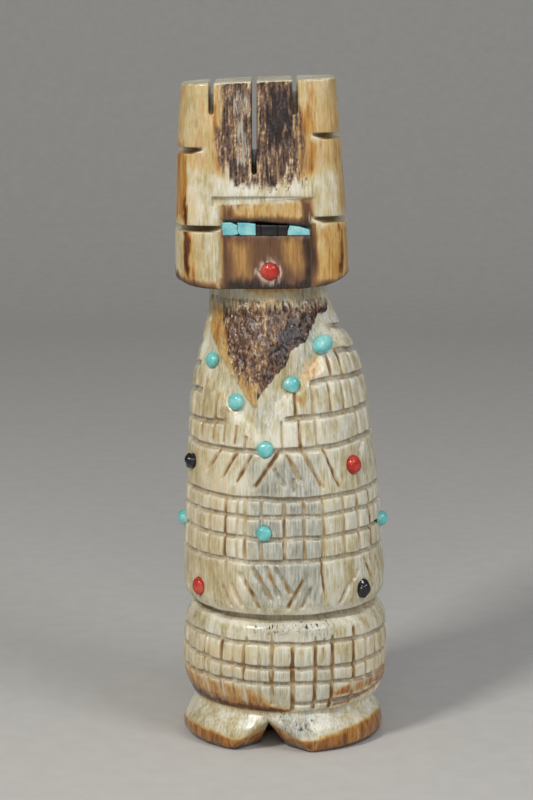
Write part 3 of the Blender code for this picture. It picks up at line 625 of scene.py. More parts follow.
# The skirt's foot stands a little over the cove that is filed under it
OVERHANG = 0.2
COVE_BOTTOM = 3.4 * UNIT
COVE_FADE = 1.4
OVERHANG_HEIGHT = 5.15
OVERHANG_RISE = 0.3
OVERHANG_EDGE = 0.25
skirt_foot = UNIT * (OVERHANG_HEIGHT + OVERHANG_RISE * np.sin(np.radians(turns)) ** 2)
under = smooth_step((skirt_foot[None, :] - levels[:, None]) / OVERHANG_EDGE)
sheets["depth"] += OVERHANG * under * smooth_step((levels[:, None] - COVE_BOTTOM) / COVE_FADE)

# The relief is rounded off along every cut, and the whole surface is a little uneven from the file
ROUNDING_REACH = 0.32
ROUNDING_SHARE = 0.45
FILED_SURFACE = ((0.022, 23, 1.0, 2.5), (0.008, 24, 0.25, 0.9))
rounding = blurred(sheets["depth"], ROUNDING_REACH, ROUNDING_REACH).astype(np.float32)
sheets["depth"] += ROUNDING_SHARE * rounding
sheets["depth"] += mixed_grain(FILED_SURFACE)

# Patches of colour: how strong each is, how soft and how ragged its edge is, and its outline in
# angles and heights. Golden bark first, then the edges and the face that were singed, with painted
# shade along the rounded upper lip of the eye channel, then antler that is grey, and the darkest pith.
BARK_PATCHES = (
    (0.5, 1.2, 0.3, (-62, 72.9), (-47, 72.8), (-43, 70), (-43, 67.7), (-44, 65.9), (-48, 63.4),
     (-62, 63.4)),
    (0.36, 1.5, 0.3, (-62, 80), (-45, 80), (-44, 76), (-46, 72.9), (-62, 72.9)),
    (0.36, 1.5, 0.3, (47, 80.5), (62, 80.5), (62, 71.8), (48, 71.8)),
    (0.5, 2.0, 0.3, (24, 75.4), (30, 75.4), (32, 70.6), (19, 68.4), (14, 71.7)),
    (0.4, 1.2, 0.3, (49, 71.8), (64, 71.7), (72, 66.7), (64, 64.1), (46, 64.3), (48, 67.6)),
    (0.22, 2.5, 0.3, (-56, 79.6), (-30, 79.6), (-33, 75.9), (-54, 75.6)),
    (0.55, 2.5, 0.4, (-33, 77), (-26, 77), (-20, 68.4), (-30, 69.5)),
    (0.6, 2.2, 0.4, (24, 76.5), (31, 76.5), (36, 72), (34, 69), (22, 68.2)),
    (0.14, 3.0, 0.3, (28, 79.6), (52, 79.6), (54, 74), (30, 74)),
    (0.28, 1.5, 0.3, (-41, 62.2), (-36, 62.3), (-33, 57.9), (-36, 55.2), (-52, 56)),
    (0.4, 1.8, 0.3, (33, 63.4), (66, 63.4), (62, 56.6), (32, 55.6)),
    (0.2, 1.0, 0.3, (-50, 54.9), (60, 54.9), (50, 53), (-50, 53)),
    (0.34, 0.6, 0.1, (-24, 65.3), (30, 65.9), (30, 64), (-24, 64)),
    (0.34, 1.0, 0.3, (17, 46.5), (33, 48), (37, 46.6), (24, 44.7), (13, 43.7)),
    (0.5, 0.5, 0.2, (10, 43), (15, 43.4), (17, 42.4), (13, 41.8)),
    (0.9, 0.9, 0.3, (-47, 66.2), (-44.4, 66.2), (-43.4, 63.4), (-46, 63.4)),
    (0.95, 1.0, 0.3, (-46, 62.5), (-43.2, 62.5), (-41.2, 59.5), (-40.6, 56.4), (-44, 56.4),
     (-45.4, 59.5)),
    (0.8, 0.9, 0.3, (46.6, 63), (50, 63), (50.4, 57.2), (47.2, 57.2)),
    (0.48, 1.4, 0.1, (-88, 9.1), (-56, 8.8), (-36, 8.5), (-20, 8.0), (-12, 7.2), (-9, 6.0), (-12, 5),
     (-88, 5)),
    (0.64, 1.3, 0.1, (-88, 7.9), (-56, 7.3), (-36, 6.9), (-20, 6.6), (-10, 6.1), (-8, 5), (-88, 5)),
    (0.95, 0.6, 0.04, (-88, 6.8), (-62, 6.3), (-36, 5.95), (-12, 5.75), (6, 5.35), (0, 4.9),
     (-88, 5.3)),
    (0.6, 0.7, 0.2, (26, 7.6), (46, 8.7), (60, 9.0), (86, 9.2), (86, 7.6), (60, 7.3), (42, 6.9),
     (27, 6.7)),
    (0.85, 0.5, 0.05, (29, 6.2), (42, 6.5), (59, 6.9), (80, 7.6), (80, 7.0), (59, 6.2), (42, 5.8),
     (29, 5.5)),
    (0.62, 0.7, 0.05, (-92, 2.3), (-81, 2.1), (-58, 2.3), (-38, 1.9), (-27, 1.6), (-20, 2.2),
     (-15, 3.2), (-12, -0.6), (-92, -0.6)),
    (0.95, 1.6, 0.05, (-92, 0.9), (-58, 0.9), (-38, 0.7), (-20, 0.9), (-14, 1.6), (-12, -0.6),
     (-92, -0.6)),
    (0.62, 0.7, 0.05, (-11, 3.3), (1, 2.7), (9, 1.7), (18, 1.6), (31, 2.3), (47, 2.8), (67, 3.1),
     (92, 3.0), (92, -0.6), (-11, -0.6)),
    (0.92, 1.6, 0.05, (-11, 1.8), (1, 1.3), (18, 0.4), (31, 0.7), (67, 1.3), (92, 1.1), (92, -0.6),
     (-11, -0.6)),
    (0.38, 0.8, 0.3, (-74, 53.6), (-44, 53), (-40, 50.4), (-36, 48.2), (-27, 45.7), (-17, 42.2),
     (-23, 43.0), (-36, 45.6), (-62, 49.2)),
    (0.42, 0.3, 0.02, (-25, 64), (32, 64), (32, 55), (-25, 55)),
    (0.4, 1.2, 0.2, (-30, 45.6), (-10, 45.6), (-12, 43.2), (-17, 41.6), (-22, 42.8)),
    (0.29, 2.0, 0.5, (-88, 80.5), (88, 80.5), (88, 70), (40, 69), (-30, 69), (-88, 70)),
    (0.16, 3.0, 0.5, (-88, 69), (-36, 67), (-30, 56), (-88, 56)),
    (0.14, 3.0, 0.5, (30, 69), (88, 69), (88, 56), (33, 56)),
    (0.17, 8.0, 0.5, (-90, 47), (-40, 46), (-26, 38), (-24, 18), (-90, 18)),
    (0.2, 4.0, 0.5, (-90, 13.7), (-16, 13.5), (-16, 9), (-90, 9)),
    (0.13, 3.0, 0.5, (34, 13.8), (88, 13.8), (88, 9), (34, 9)),
)
SINGE_AND_SHADE_PATCHES = (
    (0.6, 0.12, 0.02, (-25.2, 63.9), (32.4, 63.9), (32.4, 55), (-25.2, 55)),
    (0.17, 0.15, 0.02, (-25.2, 65.35), (-4, 65.45), (13, 65.7), (32.4, 66.05), (32.4, 63), (-25.2, 63)),
    (0.5, 0.4, 0.02, (-25.2, 65.4), (-4, 65.5), (13, 65.75), (32.4, 66.1), (32.4, 65.8), (13, 65.45),
     (-25.2, 65.1)),
    (0.7, 1.2, 0.2, (-25.2, 65.3), (-20, 65.3), (-18, 64.6), (-17, 63.4), (-25.2, 63.4)),
    (0.68, 1.2, 0.2, (27, 65.9), (32.4, 66.0), (32.4, 63.4), (26.5, 63.4)),
    # Painted shade: the dark band on the eye channel's rounded upper lip, where the brow shades it
    (0.92, 1.0, 0.1, (-25.4, 64.0), (0, 63.8), (20, 63.5), (32.4, 63.7), (32.4, 61.6), (-25.4, 61.6)),
    (0.9, 1.3, 0.2, (25, 62), (32.4, 62), (32.4, 55), (28, 55)),
    (1.0, 1.2, 0.2, (-25.4, 56.7), (32.4, 56.7), (32.4, 55), (-25.4, 55)),
    (0.82, 1.5, 0.2, (-90, 57.7), (-60, 57.5), (-45, 56.8), (-27, 56.0), (-27, 54), (-90, 54)),
    (0.78, 1.4, 0.2, (33, 56.3), (45, 56.8), (60, 57.5), (90, 58.0), (90, 54), (33, 54)),
)
GREY_PATCHES = (
    (0.85, 2.2, 0.4, (-3, 35.5), (11, 35.5), (12, 28.6), (12, 23.9), (9, 19.3), (-4, 19.2), (-4, 28.6)),
    (0.8, 3.0, 0.4, (-20, 36), (22, 36), (24, 18), (-22, 18)),
    (1.0, 0.8, 0.4, (0.5, 30.9), (11, 30.9), (11, 28), (0.5, 28)),
    (0.7, 2.0, 0.4, (-19, 79), (-7, 79), (-7, 70), (-16, 70)),
    (0.75, 1.5, 0.4, (2, 26), (10, 26), (10, 22), (4, 21)),
    (0.55, 1.0, 0.4, (-60, 55.6), (60, 55.6), (55, 53.5), (20, 53.6), (-15, 53.9), (-55, 53.4)),
    (0.5, 1.5, 0.4, (-24, 16.8), (34, 16.8), (30, 14), (-20, 14)),
    (0.5, 2.0, 0.4, (-36, 5.2), (44, 5.4), (30, 3), (-20, 3)),
    (0.2, 1.0, 0.4, (-90, 5.0), (90, 5.0), (90, 2.5), (-90, 2.5)),
    (0.8, 1.2, 0.4, (-4, 4.6), (14, 5), (16, 2.4), (4, 1.8)),
    (0.6, 1.5, 0.4, (35, 50.7), (45, 48.4), (22, 45.4), (8, 45), (16, 48.2)),
    (0.5, 1.2, 0.4, (-22, 44), (-13, 42), (4, 44.6), (4, 43), (-11, 38.4), (-16, 40)),
    (0.2, 8.0, 0.4, (0, 48), (86, 48), (86, 18), (14, 18)),
    (0.48, 3.0, 0.4, (-52, 12), (36, 12), (36, 6), (-40, 7)),
)
DARK_PATCHES = (
    (0.6, 2.2, 0.6, (8, 78.6), (23, 78.6), (22, 73.1), (14, 71.7), (6, 72.9)),
    (0.7, 1.6, 0.3, (73, 53.2), (66, 52.4), (47, 52.1), (38, 51.1), (24, 49.3), (9, 48.2), (5, 46.7),
     (-2, 45.6), (-11, 43.3), (-14, 44), (-8, 47), (-2, 50), (14, 52), (40, 52.8)),
)
# Bark also runs on round the back of the foot, in patches that overlap: how strong, soft and ragged
# they are, the angles where they start, their width in degrees and the heights of their edges
BACK_BARK = (0.5, 0.8, 0.2)
BACK_BARK_STARTS = range(92, 268, 16)
BACK_BARK_WIDTH = 18
BACK_BARK_TOP = (2.6, 2.8)
BACK_BARK_FOOT = -0.6
# Then what is worn or cleared off a sheet again: the sheet, its share, its soft and ragged edge in
# mm, and its outline
CLEARED = (
    ("burnt", 0.5, 1.8, 0.1, (-21, 61.0), (-9, 60.9), (-8, 56.9), (-19, 56.9)),
    ("burnt", 0.46, 1.8, 0.1, (13, 61.8), (25, 61.6), (28, 58.4), (23, 57.1), (14, 58.6)),
    ("pith", 0.85, 0.8, 0.3, (-72, 53.8), (-50, 53), (-43, 50.4), (-38, 48.2), (-28, 45.7), (-18, 42.4),
     (-22, 42.4), (-38, 45.6), (-62, 49), (-78, 51)),
    ("pith", 0.62, 2.0, 0.3, (-78, 54.8), (78, 54.8), (78, 52.9), (30, 52.7), (-10, 52.9), (-50, 52.2),
     (-78, 52.5)),
    ("dark", 1.0, 1.5, 0.3, (-24, 44.6), (-12, 44.6), (-14, 42.2), (-17, 41.5), (-20, 42.4)),
    ("pith", 0.72, 2.2, 0.3, (-24, 44.6), (-12, 44.6), (-14, 42.2), (-17, 41.5), (-20, 42.4)),
)
PATCHES = {"amber": BARK_PATCHES, "burnt": SINGE_AND_SHADE_PATCHES, "ash": GREY_PATCHES, "dark": DARK_PATCHES}
for sheet, rows in PATCHES.items():
    for row in rows:
        patch(sheet, *row)
for start in BACK_BARK_STARTS:
    end = start + BACK_BARK_WIDTH
    top = zip((start, end), BACK_BARK_TOP)
    patch("amber", *BACK_BARK, *top, (end, BACK_BARK_FOOT), (start, BACK_BARK_FOOT))
for sheet, share, soft, ragged, *path in CLEARED:
    place, cover = patch_cover(path, soft, ragged)
    sheets[sheet][place] *= 1 - share * cover

# Skirt cuts that were left pale, and painted light on the lower walls of the corner kerfs where light
# falls into them: angle or angles, then height or heights
PALE_CUTS = (
    (-53, 6.5, 8.8), (-39, 6.4, 8.7), (-24.5, 6.2, 8.6), (41.7, 7.2, 8.6), (51.7, 7.4, 8.7),
    (61.3, 7.6, 8.8),
)
KERF_PAINTED_LIGHT = ((-64, -34, 71.8), (-64, -26, 62.7), (32, 64, 73.4), (31, 64, 63.75))
PALE_CUT_REACH = 1.1
PALE_CUT_EDGE = (0.2, 0.03)
KERF_LIGHT_BELOW = 0.42
KERF_LIGHT_ABOVE = 0.14
KERF_LIGHT_EDGE = (0.15, 0.02)


def pale_patch(left, right, low, high, soft, ragged):
    patch("pale", 1.0, soft, ragged, (left, high), (right, high), (right, low), (left, low))


for angle, low, high in PALE_CUTS:
    pale_patch(angle - PALE_CUT_REACH, angle + PALE_CUT_REACH, low, high, *PALE_CUT_EDGE)
# Painted light: the corner kerfs are painted pale where light falls into their lower walls
for left, right, height in KERF_PAINTED_LIGHT:
    pale_patch(left, right, height - KERF_LIGHT_BELOW, height + KERF_LIGHT_ABOVE, *KERF_LIGHT_EDGE)

# Crumbs of glue round the mouth
GLUE_CENTRE = (4.6, 57.65)
GLUE_SIZE = (9.6, 1.42)
GLUE_EDGE = (0.5, 0.15)
GLUE_TURN_STEP = 0.5
GLUE_MEAN = 0.6
GLUE_UNEVENNESS = 0.7
crumbs = grain(41, 0.14, 0.14)
glue_ring = [
    (GLUE_CENTRE[0] + GLUE_SIZE[0] * math.cos(turn), GLUE_CENTRE[1] + GLUE_SIZE[1] * math.sin(turn))
    for turn in np.arange(0, 2 * math.pi, GLUE_TURN_STEP)
]
glue_place, glue_cover = patch_cover(glue_ring, *GLUE_EDGE)
mark("glue", glue_place, glue_cover * smooth_step(GLUE_MEAN + GLUE_UNEVENNESS * crumbs[glue_place]))


def angle_round(x, y, z):
    """Angle round the figure of places given in mm, where the sheets are read for them."""
    on_head = z > JAW_HEIGHT
    body = placed(body_outline, x, y, z)
    head = placed(head_outline, x, y, z)
    across = np.where(on_head, head[0], body[0])
    deep = np.where(on_head, head[1], body[1])
    return np.degrees(np.arctan2(across, -deep))


# A sheet is read no higher than just under its last row, so there is always a row above
HIGHEST_ROW = SHEET[0] - 1.001


def read(sheet, angle, height):
    """Value of a sheet at angles and heights, blended between its rows and columns."""
    row = np.clip((height - levels[0]) / LEVEL_STEP, 0, HIGHEST_ROW)
    column = (angle - turns[0]) / TURN_STEP
    low_row = row.astype(np.int32)
    low_column = np.floor(column).astype(np.int32)
    row_share = (row - low_row).astype(np.float32)
    column_share = (column - low_column).astype(np.float32)
    low_column %= SHEET[1]
    next_column = (low_column + 1) % SHEET[1]
    lower, upper = (
        sheet[rows, low_column] * (1 - column_share) + sheet[rows, next_column] * column_share
        for rows in (low_row, low_row + 1)
    )
    return lower * (1 - row_share) + upper * row_share


# The carving: what is sawn into its head and feet
#
# The slots of the head-board, the kerfs across the corners, the let-in face and the parting of the
# toes are plain saw and file cuts that go deeper than the engraving.

SAWN_EDGE = 0.12
SLOT_WIDTH = 0.6
KERF_WIDTH = 0.38
KERF_FLARE = 0.38
KERF_FLARE_START = 0.1
# Slots of the head-board: place across, depth in front and depth behind
SLOTS = ((-8.35, 3.9, 1.5), (-3.4, 10.9, 8.6), (1.35, 4.3, 1.6))
SLOT_REACH = 10.0
# Kerfs: height, how far across each starts in front, and how far across it ends on the side
CORNER_KERFS = ((71.8, -9.3, -11.6), (73.5, 3.3, 6.2), (62.8, -7.0, -11.8), (63.85, 3.5, 7.0))
KERF_FRONT = -8.1
KERF_BACK = 5.0
KERF_REACH = 1.0
FACE_LEFT = -6.95 * UNIT
FACE_RIGHT = 3.55 * UNIT
FACE_LEAN = -0.04
FACE_LEAN_HEIGHT = 61.0 * UNIT
FACE_TOP = 65.85 * UNIT
FACE_TOP_LEAN = 0.075
FACE_FOOT = 54.0 * UNIT
FACE_RECESS = 0.45 * UNIT
FACE_CHAMFER = 0.7 * UNIT
FACE_BULGE = 0.35
FACE_BULGE_POWER = 6
FACE_FLOOR_EDGE = 0.15
FACE_GRAIN = ((0.014, 25, 0.35, 3.0), (0.007, 26, 0.2, 0.5))
BROW_TOP = 66.35 * UNIT
BROW_KERF_LEFT = -8.3 * UNIT
BROW_KERF_OVERLAP = 0.05
# The brow's kerf is this deep at its left, and as much shallower at its right, in recesses
BROW_KERF_DEPTH = 0.3
BROW_KERF_FADE = 0.9
EYE_CHANNEL_BOTTOM = 61.85 * UNIT
EYE_CHANNEL_HEIGHT = 1.5
EYE_CHANNEL_DEPTH = 1.2
EYE_CHANNEL_RIGHT = 3.3 * UNIT
EYE_TAPER = 0.09
EYE_TAPER_START = -3.2 * UNIT
# The channel's lower edge is crisp, and its upper edge is filed round
EYE_SILL_EDGE = 0.08
EYE_LINTEL_EDGE = 0.5
EYE_LINTEL_START = 0.6
EYE_LINTEL_RUN = 0.4
MOUTH_PLACE = (-1.55 * UNIT, 57.65 * UNIT)
MOUTH_SIZE = (2.1, 1.95)
GOUGE_MIDDLE = -1.7 * UNIT
GOUGE_DEPTH = 5.2 * UNIT
GOUGE_HEIGHT = 4.6 * UNIT
GOUGE_FLARE = 1.05
GOUGE_EDGE = 0.5
NOTCH_LEFT = -3.4 * UNIT
NOTCH_RIGHT = 1.6 * UNIT
NOTCH_HEIGHT = 4.6 * UNIT
NOTCH_BACK = -1.0 * UNIT
NOTCH_BACK_HEIGHT = 1.7 * UNIT
NOTCH_EDGE = 0.25
FOOT_CUT_FRONT = -14.0 * UNIT


def sunk_slots(field, x, y, z):
    """Takes the three slots out of a block of distances."""
    for across, front_depth, back_depth in SLOTS:
        middle = across * UNIT
        share = (y / UNIT + SLOT_REACH) / (2 * SLOT_REACH)
        depth = (front_depth + (back_depth - front_depth) * share) * UNIT
        centre = crown_height(middle) - depth + SLOT_WIDTH / 2
        beside = np.abs(x - middle)
        slot = np.where(z > centre, beside, np.hypot(beside, z - centre)) - SLOT_WIDTH / 2
        field = smooth_larger(field, -slot, SAWN_EDGE)
    return field


def sunk_kerfs(field, x, y, z):
    """Takes the level saw cuts across the head's corners out of a block of distances."""
    for height, front_across, side_across in CORNER_KERFS:
        if abs(z - height * UNIT).min() > KERF_REACH:
            continue
        across = (side_across - front_across) * UNIT
        deep = (KERF_BACK - KERF_FRONT) * UNIT
        length = math.hypot(across, deep)
        side = math.copysign(1.0, across)
        inside = (deep * (x - front_across * UNIT) - across * (y - KERF_FRONT * UNIT)) * -side / length
        above = z - height * UNIT - KERF_WIDTH / 2
        flare = KERF_FLARE * np.clip(-inside - KERF_FLARE_START, 0, 1)
        below = height * UNIT - KERF_WIDTH / 2 - z - flare
        kerf = np.maximum(inside, np.maximum(above, below))
        field = smooth_larger(field, -kerf, SAWN_EDGE)
    return field


face_grain = mixed_grain(FACE_GRAIN)


def face_floor(z):
    return head_front(z) + FACE_RECESS


def let_in_face(field, x, y, z):
    """Lets the face in, with chamfered sides and a barrel-shaped floor, and saws two kerfs across it.

    One is the thin kerf above the brow, and the other is the channel for the eyes.
    """
    middle = (FACE_LEFT + FACE_RIGHT) / 2
    share = np.clip(np.abs(x - middle) / (FACE_RIGHT - middle), 0, 1)
    floor = face_floor(z)
    bulge = FACE_BULGE * share ** FACE_BULGE_POWER
    floor = floor + bulge + read(face_grain, angle_round(x, floor, z), z)
    top = np.minimum(FACE_TOP + FACE_TOP_LEAN * (x - middle), BROW_TOP)
    right_edge = FACE_RIGHT + FACE_LEAN * (z - FACE_LEAN_HEIGHT)
    slope = math.hypot(FACE_RECESS, FACE_CHAMFER)
    deeper = y - face_floor(z)
    left = ((FACE_LEFT - x) * FACE_RECESS + deeper * FACE_CHAMFER) / slope
    right = ((x - right_edge) * FACE_RECESS + deeper * FACE_CHAMFER) / slope
    panel = smooth_larger(y - floor, np.maximum(left, right), FACE_FLOOR_EDGE)
    panel = np.maximum(panel, z - top)
    field = smooth_larger(field, -panel, SAWN_EDGE)
    fading = np.clip((x - BROW_KERF_LEFT) / (FACE_RIGHT - BROW_KERF_LEFT), 0, 1)
    back = face_floor(FACE_TOP) + FACE_RECESS * (BROW_KERF_DEPTH - BROW_KERF_FADE * fading)
    brow = np.maximum(np.maximum(z - BROW_TOP, top - BROW_KERF_OVERLAP - z), y - back)
    brow = np.maximum(brow, np.maximum(BROW_KERF_LEFT - x, x - FACE_RIGHT))
    field = smooth_larger(field, -brow, SAWN_EDGE)
    low = EYE_CHANNEL_BOTTOM
    height = EYE_CHANNEL_HEIGHT - EYE_TAPER * np.maximum(x - EYE_TAPER_START, 0)
    channel = np.maximum(low - z, z - low - height)
    channel = np.maximum(channel, y - face_floor(low + EYE_CHANNEL_HEIGHT / 2) - EYE_CHANNEL_DEPTH)
    channel = np.maximum(channel, np.maximum(FACE_LEFT - x, x - EYE_CHANNEL_RIGHT))
    lintel = smooth_step((z - low - EYE_LINTEL_START) / EYE_LINTEL_RUN)
    return smooth_larger(field, -channel, EYE_SILL_EDGE + EYE_LINTEL_EDGE * lintel)


def parted_toes(field, x, y, z):
    """Parts the toes with a gouge and a notch that runs back under the figure."""
    lean = GOUGE_DEPTH / GOUGE_HEIGHT
    point = surface_point(0, 0).y + lean * (GOUGE_HEIGHT - z)
    gouge = (y - point + np.abs(x - GOUGE_MIDDLE) / GOUGE_FLARE) / math.hypot(1, 1 / GOUGE_FLARE, lean)
    field = smooth_larger(field, -gouge, GOUGE_EDGE)
    share = np.clip((y - FOOT_CUT_FRONT) / (NOTCH_BACK - FOOT_CUT_FRONT), 0, 1)
    height = NOTCH_HEIGHT + (NOTCH_BACK_HEIGHT - NOTCH_HEIGHT) * share
    slope_left = NOTCH_HEIGHT / (GOUGE_MIDDLE - NOTCH_LEFT)
    slope_right = NOTCH_HEIGHT / (NOTCH_RIGHT - GOUGE_MIDDLE)
    left = (z - height + (GOUGE_MIDDLE - x) * slope_left) / math.hypot(1, slope_left)
    right = (z - height + (x - GOUGE_MIDDLE) * slope_right) / math.hypot(1, slope_right)
    notch = np.maximum(np.maximum(left, right), y - NOTCH_BACK)
    return smooth_larger(field, -notch, NOTCH_EDGE)


# Round stones: name, angle, height, width and height in mm, turn in degrees, how far the stone is
# sunk into the collar, and the stone it is cut from
ROUND_STONES = (
    ("turquoise_collar_left", -55.8, 46.8, 1.8, 1.8, 0, 0.5, "turquoise"),
    ("turquoise_shoulder_right", 39.0, 48.95, 2.8, 2.1, 30, 0.6, "turquoise"),
    ("turquoise_yoke_left", -29.2, 42.3, 1.9, 1.9, 0, 0.6, "turquoise"),
    ("turquoise_yoke_right", 8.6, 44.5, 1.9, 1.9, 0, 0.7, "turquoise"),
    ("turquoise_chest", -9.5, 36.9, 1.9, 1.9, 0, 0, "turquoise"),
    ("turquoise_belly", -11.0, 27.0, 1.8, 1.8, 0, 0, "turquoise"),
    ("turquoise_side_left", -84.0, 26.9, 1.8, 1.8, 0, 0, "turquoise"),
    ("turquoise_side_right", 81.0, 26.9, 1.8, 1.8, 0, 0, "turquoise"),
    ("coral_chest_right", 48.6, 34.5, 2.1, 2.2, 0, 0, "coral"),
    ("coral_hip_left", -57.2, 19.5, 1.9, 2.1, 0, 0, "coral"),
    ("jet_side_left", -68.4, 34.4, 1.6, 1.7, 0, 0, "jet"),
    ("jet_hip_right", 50.5, 19.5, 1.75, 2.2, 0, 0, "jet"),
)
POCKET_GAP = 0.02
POCKET_DEPTH = 0.35
POCKET_EDGE = 0.06
POCKET_REACH = 0.6
# The blank's slope is read this far to each side, in degrees and in mm
SLOPE_ANGLE = 2
SLOPE_HEIGHT = 0.3


def stone_seat(place, normal, turn):
    """Where a stone sits: its own z looks outward and its y upward."""
    across = Vector((0.0, 0.0, 1.0)).cross(normal).normalized()
    upward = normal.cross(across)
    seat = Matrix((across, upward, normal)).transposed().to_4x4()
    return Matrix.Translation(place) @ seat @ Matrix.Rotation(math.radians(turn), 4, "Z")


def robe_seat(angle, height, sunk, turn):
    """Where a stone sits on the robe, from the slope of the blank's surface there."""
    height *= UNIT
    left, right = (surface_point(angle + turned, height) for turned in (-SLOPE_ANGLE, SLOPE_ANGLE))
    below, above = (surface_point(angle, height + rise) for rise in (-SLOPE_HEIGHT, SLOPE_HEIGHT))
    normal = (right - left).cross(above - below).normalized()
    return stone_seat(surface_point(angle, height) - normal * sunk * COLLAR_DEPTH, normal, turn)


mouth_point = Vector((MOUTH_PLACE[0], float(face_floor(MOUTH_PLACE[1])), MOUTH_PLACE[1]))
mouth_seat = stone_seat(mouth_point, Vector((0, -1, 0)), 0)


def sunk_pocket(field, x, y, z, seat, wide, tall):
    """Takes a stone's blind pocket out of the whole field of distances."""
    places = [seat.translation[axis] for axis in range(3)]
    reach = max(wide, tall) / 2 + POCKET_REACH
    spans = [np.flatnonzero(abs(edge - place) < reach) for edge, place in zip((x, y, z), places)]
    block = np.ix_(*spans)
    offsets = [edge[span] - place for edge, span, place in zip((x, y, z), spans, places)]
    dx, dy, dz = np.meshgrid(*offsets, indexing="ij")
    axes = np.array(seat.to_3x3()).T
    across, upward, outward = (dx * axis[0] + dy * axis[1] + dz * axis[2] for axis in axes)
    edge = (np.hypot(across / (wide / 2), upward / (tall / 2)) - 1) * min(wide, tall) / 2
    pocket = np.maximum(edge - POCKET_GAP, -outward - POCKET_DEPTH)
    field[block] = smooth_larger(field[block], -pocket, POCKET_EDGE)


# The carving: its mesh
#
# The blank, its engraving and its sawn cuts are put together as distances in a block of small
# cells. The surface is drawn where the distance is nought, thinned where it is plain, and given the
# sheets of colour, one value to each of its points.

VOXEL = 0.1
BAND = 0.3
ENGRAVED_REACH = 1.3
MARGIN = 0.6
SLAB = 40
# The engraving and the colours end just below the crown, whose end grain is left as it was sawn
CROWN_EDGE = 0.3
CROWN_GAP = 0.08
CROWN_FADE = 0.15
# Singed brown and the painted shade stay on the head: where they start to fade, in shares of the fade,
# and its length
HEAD_FADE_START = 1.2
HEAD_FADE = 0.25
MOST_TRIANGLES = 190000
# The front keeps its small triangles, as its colours change over its flat parts
FRONT_REACH = (-2.0, 7.0)
FRONT_WEIGHTS = 12
LEAST_WEIGHT = 0.02
FRONT_SHARE = 0.0002


def worked_distance(x, y, z):
    """Distance to the finished carving, for a block of places given by its three edges."""
    field = blank_distance(x, y, z)
    near = (field > -ENGRAVED_REACH) & (field < BAND)
    px, py, pz = (np.broadcast_to(edge, field.shape)[near] for edge in (x, y, z))
    relief = read(sheets["depth"], angle_round(px, py, pz), pz)
    relief *= smooth_step((crown_height(px) - pz) / CROWN_EDGE)
    field[near] += relief
    if z.max() > FACE_FOOT:
        for work in (let_in_face, sunk_kerfs, sunk_slots):
            field = work(field, x, y, z)
    if z.min() < GOUGE_HEIGHT:
        field = parted_toes(field, x, y, z)
    return field


def skin(name, field, lowest, voxel):
    """The surface where a block of distances passes nought, as a mesh that is still in mm."""
    grid = openvdb.FloatGrid(3 * voxel)
    grid.copyFromArray(np.clip(field, -3 * voxel, 3 * voxel).astype(np.float32))
    points, quads = grid.convertToQuads()
    mesh = bpy.data.meshes.new(name)
    mesh.vertices.add(len(points))
    mesh.vertices.foreach_set("co", (points * voxel + lowest).astype(np.float32).ravel())
    mesh.loops.add(quads.size)
    mesh.loops.foreach_set("vertex_index", quads[:, ::-1].astype(np.int32).ravel())
    mesh.polygons.add(len(quads))
    mesh.polygons.foreach_set("loop_start", np.arange(0, quads.size, 4, dtype=np.int32))
    mesh.update(calc_edges=True)
    return mesh


def carving_mesh():
    """The finished carving, from its blank to the stones' pockets."""
    lowest = np.array(carving_low) / MM - MARGIN
    highest = np.array(carving_high) / MM + MARGIN
    counts = np.ceil((highest - lowest) / VOXEL).astype(int)
    x, y, z = (
        (lowest[axis] + VOXEL * np.arange(counts[axis])).astype(np.float32) for axis in range(3)
    )
    field = np.empty(counts, np.float32)
    for start in range(0, counts[2], SLAB):
        slab = z[start:start + SLAB]
        block = worked_distance(x[:, None, None], y[None, :, None], slab[None, None, :])
        field[:, :, start:start + SLAB] = block
    for _, angle, height, wide, tall, turn, sunk, _ in ROUND_STONES:
        sunk_pocket(field, x, y, z, robe_seat(angle, height, sunk, turn), wide, tall)
    sunk_pocket(field, x, y, z, mouth_seat, *MOUTH_SIZE)
    return skin("carving_full", field, lowest, VOXEL)


def add_piece(name, mesh):
    """A mesh made in mm as an object of the scene that rides with the figure."""
    mesh.transform(Matrix.Scale(MM, 4))
    mesh.shade_smooth()
    piece = bpy.data.objects.new(name, mesh)
    bpy.context.scene.collection.objects.link(piece)
    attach(piece, "root")
    return piece


def mesh_points(mesh):
    points = np.empty(len(mesh.vertices) * 3, np.float32)
    mesh.vertices.foreach_get("co", points)
    return points.reshape(-1, 3)


full = bpy.data.objects.new("carving_full", carving_mesh())
bpy.context.scene.collection.objects.link(full)
behind = (mesh_points(full.data)[:, 1] - FRONT_REACH[0]) / (FRONT_REACH[1] - FRONT_REACH[0])
behind = np.round(smooth_step(behind) * (FRONT_WEIGHTS - 1)).astype(int)
plainness = full.vertex_groups.new(name="plainness")
for weight in range(FRONT_WEIGHTS):
    chosen = np.flatnonzero(behind == weight).tolist()
    plainness.add(chosen, max(weight / (FRONT_WEIGHTS - 1), LEAST_WEIGHT), "REPLACE")
thinned = full.modifiers.new("thinned", "DECIMATE")
thinned.ratio = min(1.0, MOST_TRIANGLES / (2 * len(full.data.polygons)))
thinned.use_collapse_triangulate = True
thinned.vertex_group = plainness.name
thinned.vertex_group_factor = FRONT_SHARE
depsgraph = bpy.context.evaluated_depsgraph_get()
thin_mesh = bpy.data.meshes.new_from_object(full.evaluated_get(depsgraph))
bpy.data.objects.remove(full)
px, py, pz = mesh_points(thin_mesh).T
carving = add_piece("carved_maiden", thin_mesh)

